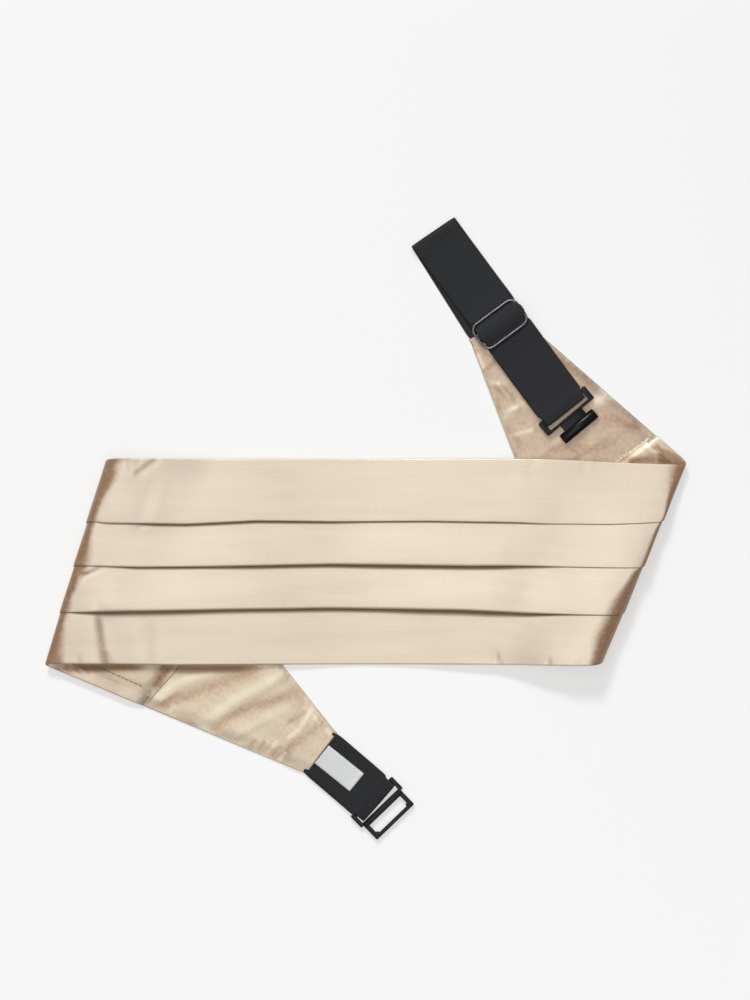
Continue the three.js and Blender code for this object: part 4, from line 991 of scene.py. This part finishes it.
# The label: a bare white woven taffeta tape, turned in at both ends and sewn on the strap.
# It starts a little way from the wing and lies slightly askew.
LABEL_LENGTH, LABEL_WIDTH, TAPE = 27.0, 13.6, 0.3
LABEL_START, LABEL_HEIGHT, LABEL_TURN = 2.0, 2.62, 1.65


def woven_taffeta(name, colour):
    """Polyester taffeta: a close, flat, faintly shining plain weave."""
    material, tree = new_material(name)
    cloth = add(tree, "UVMap", uv_map="cloth").outputs[0]
    # Threads are 0.15 mm apart, drawn at 0.5 mm
    weft, warp = [add(tree, "TexWave", {"Vector": cloth, "Scale": 0.62, "Distortion": 0.6},
                      bands_direction=way).outputs["Fac"] for way in "XY"]
    height = add(tree, "Math", {0: weft, 1: warp}, operation="ADD").outputs[0]
    # Painted shade: the colour is a little darker where the threads dip and paler on their crowns
    shaded = mottle(tree, linear(colour)[:3], height, 0.93, 1.04, {"From Min": 0.0, "From Max": 2.0})
    bump = add(tree, "Bump", {"Height": height, "Strength": 0.3, "Distance": 0.0001})
    return finish_material(material, tree, {
        "Base Color": shaded, "Roughness": 0.55, "Normal": bump.outputs[0]})


label_at = strap_line(LEFT, LEFT.tip_x, LEFT.tip_y, LEFT.heading + np.radians(LABEL_TURN))
across = np.linspace(LABEL_WIDTH / 2, -LABEL_WIDTH / 2, 14)
soft_edge = 0.12 * (np.abs(across) / (LABEL_WIDTH / 2)) ** 6
rows, flat = [], []
for a in np.linspace(0, LABEL_LENGTH, 28):
    turned_in = 0.28 * ease(2.6 - min(a, LABEL_LENGTH - a))
    rise = LABEL_HEIGHT + 0.12 * np.sin(a / 4.1) + turned_in
    rows.append([label_at(LABEL_START + a, c, rise - soft) for c, soft in zip(across, soft_edge)])
    flat.append([(a, c) for c in across])
label = cloth_mesh("taffeta_label", rows, flat)
thicken(label, TAPE)
white_taffeta = woven_taffeta("white polyester taffeta, woven", "#DDDFDF")
dress(label, white_taffeta, "label")


# The loop clasp: injection moulded black nylon, half gloss, with its edges softly broken. The
# strap turns round a bar set back between its shoulders, and the open window takes the hook.
PLATE = 3.0
EDGE = 0.3

# Half widths of the shoulders, the slot between the arms, and the frame round the window, and
# the distance from the bar's back to the loop's end
SHOULDER, ARM, LOOP_SIDE, LOOP_END = 17.25, 14.7, 15.45, 21.2
WINDOW_NEAR, WINDOW_FAR, WINDOW_HALF = 11.8, 18.9, 12.7


def moulded_nylon(name, colour, roughness):
    """Injection moulded nylon: near black, half gloss, with a faint mould texture."""
    material, tree = new_material(name)
    place = add(tree, "TexCoord").outputs["Object"]
    # Spark texture of about 0.15 mm, drawn at 0.4 mm
    grain = add(tree, "TexNoise", {"Vector": place, "Scale": 2500.0, "Detail": 2.0})
    # Rubbed a little more and less, over about 6 mm
    worn = add(tree, "TexNoise", {"Vector": place, "Scale": 180.0, "Detail": 3.0}).outputs["Fac"]
    gloss = add(tree, "MapRange", {
        "Value": worn, **NOISE, "To Min": roughness - 0.02, "To Max": roughness + 0.02})
    bump = add(tree, "Bump", {"Height": grain.outputs["Fac"], "Strength": 0.05, "Distance": 0.00003})
    return finish_material(material, tree, {
        "Base Color": mottle(tree, linear(colour)[:3], worn, 0.85, 1.2),
        "Roughness": gloss.outputs[0], "IOR": 1.53, "Specular IOR Level": 0.16,
        "Normal": bump.outputs[0]})


def plate_mesh(name, outlines, thickness, bevel=EDGE):
    """A plate cut from flat outlines, with holes, thickness upwards and broken edges."""
    curve = bpy.data.curves.new(name, "CURVE")
    curve.dimensions = "2D"
    curve.fill_mode = "BOTH"
    curve.extrude = thickness / 2000 - bevel / 1000
    curve.bevel_depth = bevel / 1000
    curve.offset = -bevel / 1000
    curve.bevel_resolution = 2
    for outline in outlines:
        spline = curve.splines.new("POLY")
        spline.points.add(len(outline) - 1)
        for point, (a, c) in zip(spline.points, outline):
            point.co = (a / 1000, c / 1000, 0, 1)
        spline.use_cyclic_u = True
    holder = put_in_scene(name, curve)
    bpy.context.view_layer.update()
    mesh = bpy.data.meshes.new_from_object(holder)
    bpy.data.objects.remove(holder)
    for vertex in mesh.vertices:
        vertex.co.z += thickness / 2000
    return mesh


def bar_mesh(name, profile, half):
    """A bar that runs across: its profile is given as distance and height, with round ends."""
    profile = np.array(profile, float)
    centre = profile.mean(axis=0)
    end = [(half - inset, scale) for inset, scale in ((0, 0.72), (0.12, 0.9), (0.4, 1))]
    rows = []
    for c, scale in [(-c, scale) for c, scale in end] + end[::-1]:
        ring = centre + (profile - centre) * scale
        rows.append(np.stack([ring[:, 0], np.full(len(ring), c), ring[:, 1]], axis=1))
    piece = cloth_mesh(name, rows, wrapped=True, ends_closed=True)
    mesh = piece.data
    bpy.data.objects.remove(piece)
    return mesh


def place_clasp(name, meshes, at):
    """Joins the parts of a clasp and lays it on its strap's line, millimetres to the frame."""
    points, faces = [], []
    for mesh in meshes:
        first = len(points)
        points += [at(*(np.array(vertex.co) * 1000)) for vertex in mesh.vertices]
        faces += [[first + v for v in face.vertices] for face in mesh.polygons]
    piece = new_piece(name, points, faces)
    face_outwards(piece, join=1e-7)
    piece.data.set_sharp_from_angle(angle=np.radians(35))
    return piece


def clasp_line(end, x, y, heading, distance, turn, floor):
    """Where a clasp sits: at a distance along a strap, turned a little against it."""
    turned = strap_line(end, x + distance * np.cos(heading), y + distance * np.sin(heading),
                        heading + np.radians(turn))
    return lambda a, c, z: turned(a, c, z + floor)


def rounded_rectangle(a0, a1, low, high, radius):
    """Profile of a bar: a rectangle in distance and height, with rounded corners."""
    points = []
    for ca, cz, first in ((a1 - radius, high - radius, 0), (a0 + radius, high - radius, 90),
                          (a0 + radius, low + radius, 180), (a1 - radius, low + radius, 270)):
        points += arc(ca, cz, radius, first, first + 90, 4)
    return points


def arc(a, c, radius, start, stop, steps=6):
    """Points on part of a circle, from one angle to another in degrees."""
    angle = np.radians(np.linspace(start, stop, steps))
    return [(a + radius * np.cos(t), c + radius * np.sin(t)) for t in angle]


def corner(a, c, radius, start):
    """A rounded outer corner of an outline, whose two sides meet at a, c."""
    inward = a - radius if start == 90 else a + radius
    return arc(inward, c - radius, radius, start, start - 90)


def mirrored(half):
    """An outline's one side, and then the same points on its other side, back to the start."""
    return half + [(a, -c) for a, c in half[::-1]]


def slot(length):
    """The rest of an outline: round the slot that the strap goes through, behind its bar."""
    return [(0, -ARM), (length, -ARM), (length, ARM), (0, ARM)]


black_nylon = moulded_nylon("black nylon, moulded, half gloss", "#0D0D0F", 0.27)
strap_bar = rounded_rectangle(0, BAR_WIDTH, BAR_FLOOR, BAR_FLOOR + BAR_HEIGHT, 0.6)
loop_outline = mirrored(corner(0, SHOULDER, 0.8, 180) + corner(9.5, SHOULDER, 0.6, 90)
                        + [(9.5, LOOP_SIDE)] + corner(LOOP_END, LOOP_SIDE, 0.8, 90)) + slot(8.0)
boss_turns = np.radians(np.linspace(0, 90, 7))
bosses = [(WINDOW_FAR - 1.5 * np.cos(t), -(WINDOW_HALF - 1.5 * np.sin(t))) for t in boss_turns]
loop_window = mirrored([(WINDOW_NEAR, -WINDOW_HALF)] + bosses)
loop_parts = [
    plate_mesh("loop_plate", [loop_outline, loop_window], PLATE),
    bar_mesh("loop_bar", strap_bar, ARM + 0.5),
    bar_mesh("loop_rib", rounded_rectangle(8.4, 11.4, 2.4, 3.5, 0.4), LOOP_SIDE - 0.3),
]
loop_at = clasp_line(LEFT, LEFT.tip_x, LEFT.tip_y, LEFT.strap_heading, LEFT_STRAP_LENGTH, 5.54, 0.02)
loop_clasp = place_clasp("nylon_loop_clasp", loop_parts, loop_at)
dress(loop_clasp, black_nylon, "loop_clasp")


# The right strap: the same elastic. It leaves the wing, lies on the table, folds back on
# itself, passes under and over the slider, turns round the hook clasp and ends at the slider.
RUN_OUT, RUN_BACK = 67.2, 129.1
RUN_BACK_TURN = np.radians(4.3)
SLIDER_AT = 68.4
SLIDER_HALF = 8.6
SLIDER_NEAR, SLIDER_MIDDLE, SLIDER_FAR = 7.3, 6.0, 4.7
WIRE = 1.6
HOOK_FLOOR = 2.6

# Heights on the way back: on the run out, and over and under the wing's edge beside the slider
ON_RUN, OVER_END, UNDER_END = 1.8, 4.4, 3.1

out_at = strap_line(RIGHT, RIGHT.tip_x, RIGHT.tip_y, RIGHT.strap_heading)
fold_x = RIGHT.tip_x + RUN_OUT * np.cos(RIGHT.strap_heading)
fold_y = RIGHT.tip_y + RUN_OUT * np.sin(RIGHT.strap_heading)
back_heading = RIGHT.strap_heading + np.pi - RUN_BACK_TURN
back_at = strap_line(RIGHT, fold_x, fold_y, back_heading)
bend_at = strap_line(RIGHT, fold_x, fold_y, RIGHT.strap_heading - RUN_BACK_TURN / 2)

out_way = out_of_wing(2.6) + [(12, ON_TABLE), (30, ON_TABLE), (52, ON_TABLE), (RUN_OUT - 3, ON_TABLE)]
bend_way = [(3 * (np.sin(t) - 1), ON_TABLE + 1.5 * (1 - np.cos(t))) for t in np.pi * np.array([1, 2, 3]) / 4]
under_wire = WIRE / 2 + CLEAR
hump = SLIDER_MIDDLE + WIRE / 2 + CLEAR
under_far, under_near = SLIDER_FAR - under_wire, SLIDER_NEAR - under_wire
under_bar = SLIDER_MIDDLE - under_wire
slider_start, slider_end = SLIDER_AT - SLIDER_HALF, SLIDER_AT + SLIDER_HALF
pulled_in, squeezed, spread = STRAP_WIDTH - 0.8, STRAP_WAIST + 0.6, STRAP_WIDTH + 0.8
back_way = [
    (3, 3.5), (12, ON_RUN), (30, ON_RUN), (slider_start - 12, ON_RUN),
    (slider_start - 4, under_far), (slider_start, under_far),
    (slider_start + WIRE, under_far + 0.3, pulled_in),
    (SLIDER_AT - 4.2, hump - 0.6, squeezed), (SLIDER_AT - 2, hump, spread),
    (SLIDER_AT, hump + 0.3, spread), (SLIDER_AT + 2, hump, spread), (SLIDER_AT + 4.2, hump - 0.6, squeezed),
    (slider_end - WIRE, under_near, pulled_in), (slider_end, under_near), (slider_end + 4, under_near),
    (slider_end + 12, OVER_END), (103, OVER_END), (RUN_BACK - 12, OVER_END), (RUN_BACK - 4, 5.2),
    (RUN_BACK - 1.7, 5.8, STRAP_WIDTH - 0.2)]
back_way += turn_round_bar(RUN_BACK, HOOK_FLOOR, 1.8, 1.3)
back_way += [(along, z, STRAP_WAIST) for along, z in (
    (RUN_BACK - 6, UNDER_END), (slider_end + 12, UNDER_END), (slider_end + 4, 4.4), (slider_end, 4.4),
    (SLIDER_AT + 1, under_bar), (SLIDER_AT - 0.5, under_bar),
    (SLIDER_AT - under_wire, SLIDER_MIDDLE - WIRE / 2), (SLIDER_AT - under_wire, SLIDER_MIDDLE + 0.3))]
right_lefts, right_rights = [], []
for at, way, flip in ((out_at, out_way, False), (bend_at, bend_way, False), (back_at, back_way, True)):
    lefts, rights = sides_of(at, way, flip)
    right_lefts += lefts
    right_rights += rights
right_strap = strap_piece("elastic_strap_right", right_lefts, right_rights, ELASTIC)
dress(right_strap, black_elastic, "right_strap")


# The slider: nickel plated steel wire, bent to a ring with round corners, with a wire welded
# across its middle. It is tipped up, because one end of it lies over the wing's tip.
SLIDER_WIDTH, SLIDER_CORNER, SLIDER_ASIDE = 33.1, 4.8, 0.9
WIRE_SIDES = 12


def plated_wire(name, colour, roughness):
    """Nickel plated steel wire: grey metal, with faint drawing marks."""
    material, tree = new_material(name)
    place = add(tree, "TexCoord").outputs["Object"]
    # Marks about 3 mm apart
    marks = add(tree, "TexNoise", {"Vector": place, "Scale": 300.0, "Detail": 2.0}).outputs["Fac"]
    gloss = add(tree, "MapRange", {
        "Value": marks, **NOISE, "To Min": roughness - 0.06, "To Max": roughness + 0.08})
    return finish_material(material, tree, {
        "Base Color": linear(colour), "Metallic": 1.0, "Roughness": gloss.outputs[0]})


def wire_point(u, c, nu, nc):
    """One ring of points round the wire, in distance along the strap, across it, and height."""
    ring = []
    for i in range(WIRE_SIDES):
        angle = 2 * np.pi * i / WIRE_SIDES
        r = WIRE / 2 * np.cos(angle)
        tilt = (SLIDER_NEAR - SLIDER_FAR) / 2 * (u + nu * r) / SLIDER_HALF
        z = SLIDER_MIDDLE + tilt + WIRE / 2 * np.sin(angle)
        ring.append(back_at(SLIDER_AT + u + nu * r, SLIDER_ASIDE + c + nc * r, z))
    return ring


across_half = SLIDER_WIDTH / 2 - WIRE / 2
hoop = []
for su, sc, first in ((1, 1, 0), (-1, 1, 90), (-1, -1, 180), (1, -1, 270)):
    for i in range(9):
        t = np.radians(first + 90 * i / 8)
        hoop.append(wire_point(su * (SLIDER_HALF - SLIDER_CORNER) + SLIDER_CORNER * np.cos(t),
                               sc * (across_half - SLIDER_CORNER) + SLIDER_CORNER * np.sin(t),
                               np.cos(t), np.sin(t)))
slider = cloth_mesh("wire_slider", hoop + hoop[:1], wrapped=True)
cross_wire = [wire_point(0, c, 1, 0) for c in (-across_half, across_half)]
bar = cloth_mesh("wire_slider_bar", cross_wire, wrapped=True)
nickel_wire = plated_wire("nickel plated steel wire, polished", "#6E6E71", 0.42)
dress(slider, nickel_wire, "slider")
dress(bar, nickel_wire, "slider")


# The hook clasp: the same moulded nylon. A short neck carries a half-round crossbar, which
# goes through the loop's window on the slant.
HOOK_HALF, HOOK_LENGTH = 18.0, 9.4
NECK_HALF, NECK_START, NECK_END, NECK = 8.35, 8.6, 15.4, 2.0
CROSSBAR_HALF, CROSSBAR_MIDDLE = 12.7, 16.65

hook_outline = mirrored(corner(0, HOOK_HALF, 0.8, 180) + corner(HOOK_LENGTH, HOOK_HALF, 0.8, 90)) + slot(7.7)
crossbar = [(13.4, 0.4), (13.8, 0.0), (19.5, 0.0), (19.9, 0.4)]
half_round = np.radians(np.linspace(0, 180, 11))
crossbar += [(CROSSBAR_MIDDLE + 3.25 * np.cos(t), 1 + 2.4 * np.sin(t)) for t in half_round]
hook_parts = [
    plate_mesh("hook_plate", [hook_outline], PLATE),
    bar_mesh("hook_strap_bar", strap_bar, ARM + 0.5),
    plate_mesh("hook_neck", [mirrored([(NECK_START, -NECK_HALF), (NECK_END, -NECK_HALF)])], NECK, 0.2),
    bar_mesh("hook_crossbar", crossbar, CROSSBAR_HALF),
]
hook_at = clasp_line(RIGHT, fold_x, fold_y, back_heading, RUN_BACK, -3.5, HOOK_FLOOR)
hook_clasp = place_clasp("nylon_hook_clasp", hook_parts, hook_at)
dress(hook_clasp, black_nylon, "hook_clasp")


# The camera stands straight over the table, 1.8 m up. With 108 mm on a 36 mm side, the
# picture is 600 mm high on the table.
camera_data = bpy.data.cameras.new("camera")
camera_data.lens = 108
camera_data.sensor_width = 36
camera = put_in_scene("camera", camera_data)
camera.location = (0.0056, 0.01683, 1.8)
bpy.context.scene.camera = camera


# The table: a sheet of smooth pale studio paper, larger than the view. It is given a faint painted
# glow, stronger on the near side, which lightens the shadows on it and evens its brightness from far to near.
TABLE = 4000
floor = new_piece("floor", [(-TABLE, -TABLE, 0), (TABLE, -TABLE, 0), (TABLE, TABLE, 0), (-TABLE, TABLE, 0)],
                  [(0, 1, 2, 3)])
paper, tree = new_material("pale studio paper, matt")
fibres = add(tree, "TexNoise", {"Scale": 4.0, "Detail": 3.0}).outputs["Fac"]
place = add(tree, "SeparateXYZ", {0: add(tree, "TexCoord").outputs["Object"]})
near_side = add(tree, "MapRange", {
    "Value": place.outputs["Y"], "From Min": -0.3, "From Max": 0.3, "To Min": 0.495, "To Max": 0.38})
finish_material(paper, tree, {
    "Base Color": mottle(tree, (0.5, 0.5, 0.5), fibres, 0.995, 1.005),
    "Roughness": 0.95, "Specular IOR Level": 0.1,
    "Emission Color": (1, 1, 1, 1), "Emission Strength": near_side.outputs[0]})
floor.data.materials.append(paper)


# The studio light: a large soft box overhead, a smaller one from the far side, and a room
# that is bright above and darker towards the table
def soft_box(name, place, size, watts):
    """A rectangular light that faces the middle of the table and isn't seen itself."""
    light = bpy.data.lights.new(name, "AREA")
    light.shape = "RECTANGLE"
    light.size, light.size_y = size
    light.energy = watts
    holder = put_in_scene(name, light)
    holder.location = place
    holder.rotation_mode = "QUATERNION"
    holder.rotation_quaternion = (-Vector(place)).to_track_quat("-Z", "Y")
    holder.visible_camera = False


soft_box("overhead_box", (-0.1, -0.05, 2.4), (2.4, 1.2), 17)
soft_box("key_box", (-0.4, 1.75, 1.6), (0.6, 0.45), 34)
world = bpy.data.worlds.new("studio")
bpy.context.scene.world = world
world.use_nodes = True
tree = world.node_tree
tree.nodes.clear()
sky = add(tree, "SeparateXYZ", {0: add(tree, "TexCoord").outputs["Generated"]})
level = add(tree, "MapRange", {
    "Value": sky.outputs["Z"], "From Min": 0.0, "From Max": 0.9, "To Min": 0.145, "To Max": 0.4})
background = add(tree, "Background", {"Strength": level.outputs[0], "Color": (1, 1, 1, 1)})
add(tree, "OutputWorld", {"Surface": background.outputs[0]})
bpy.context.scene.view_settings.view_transform = "Standard"
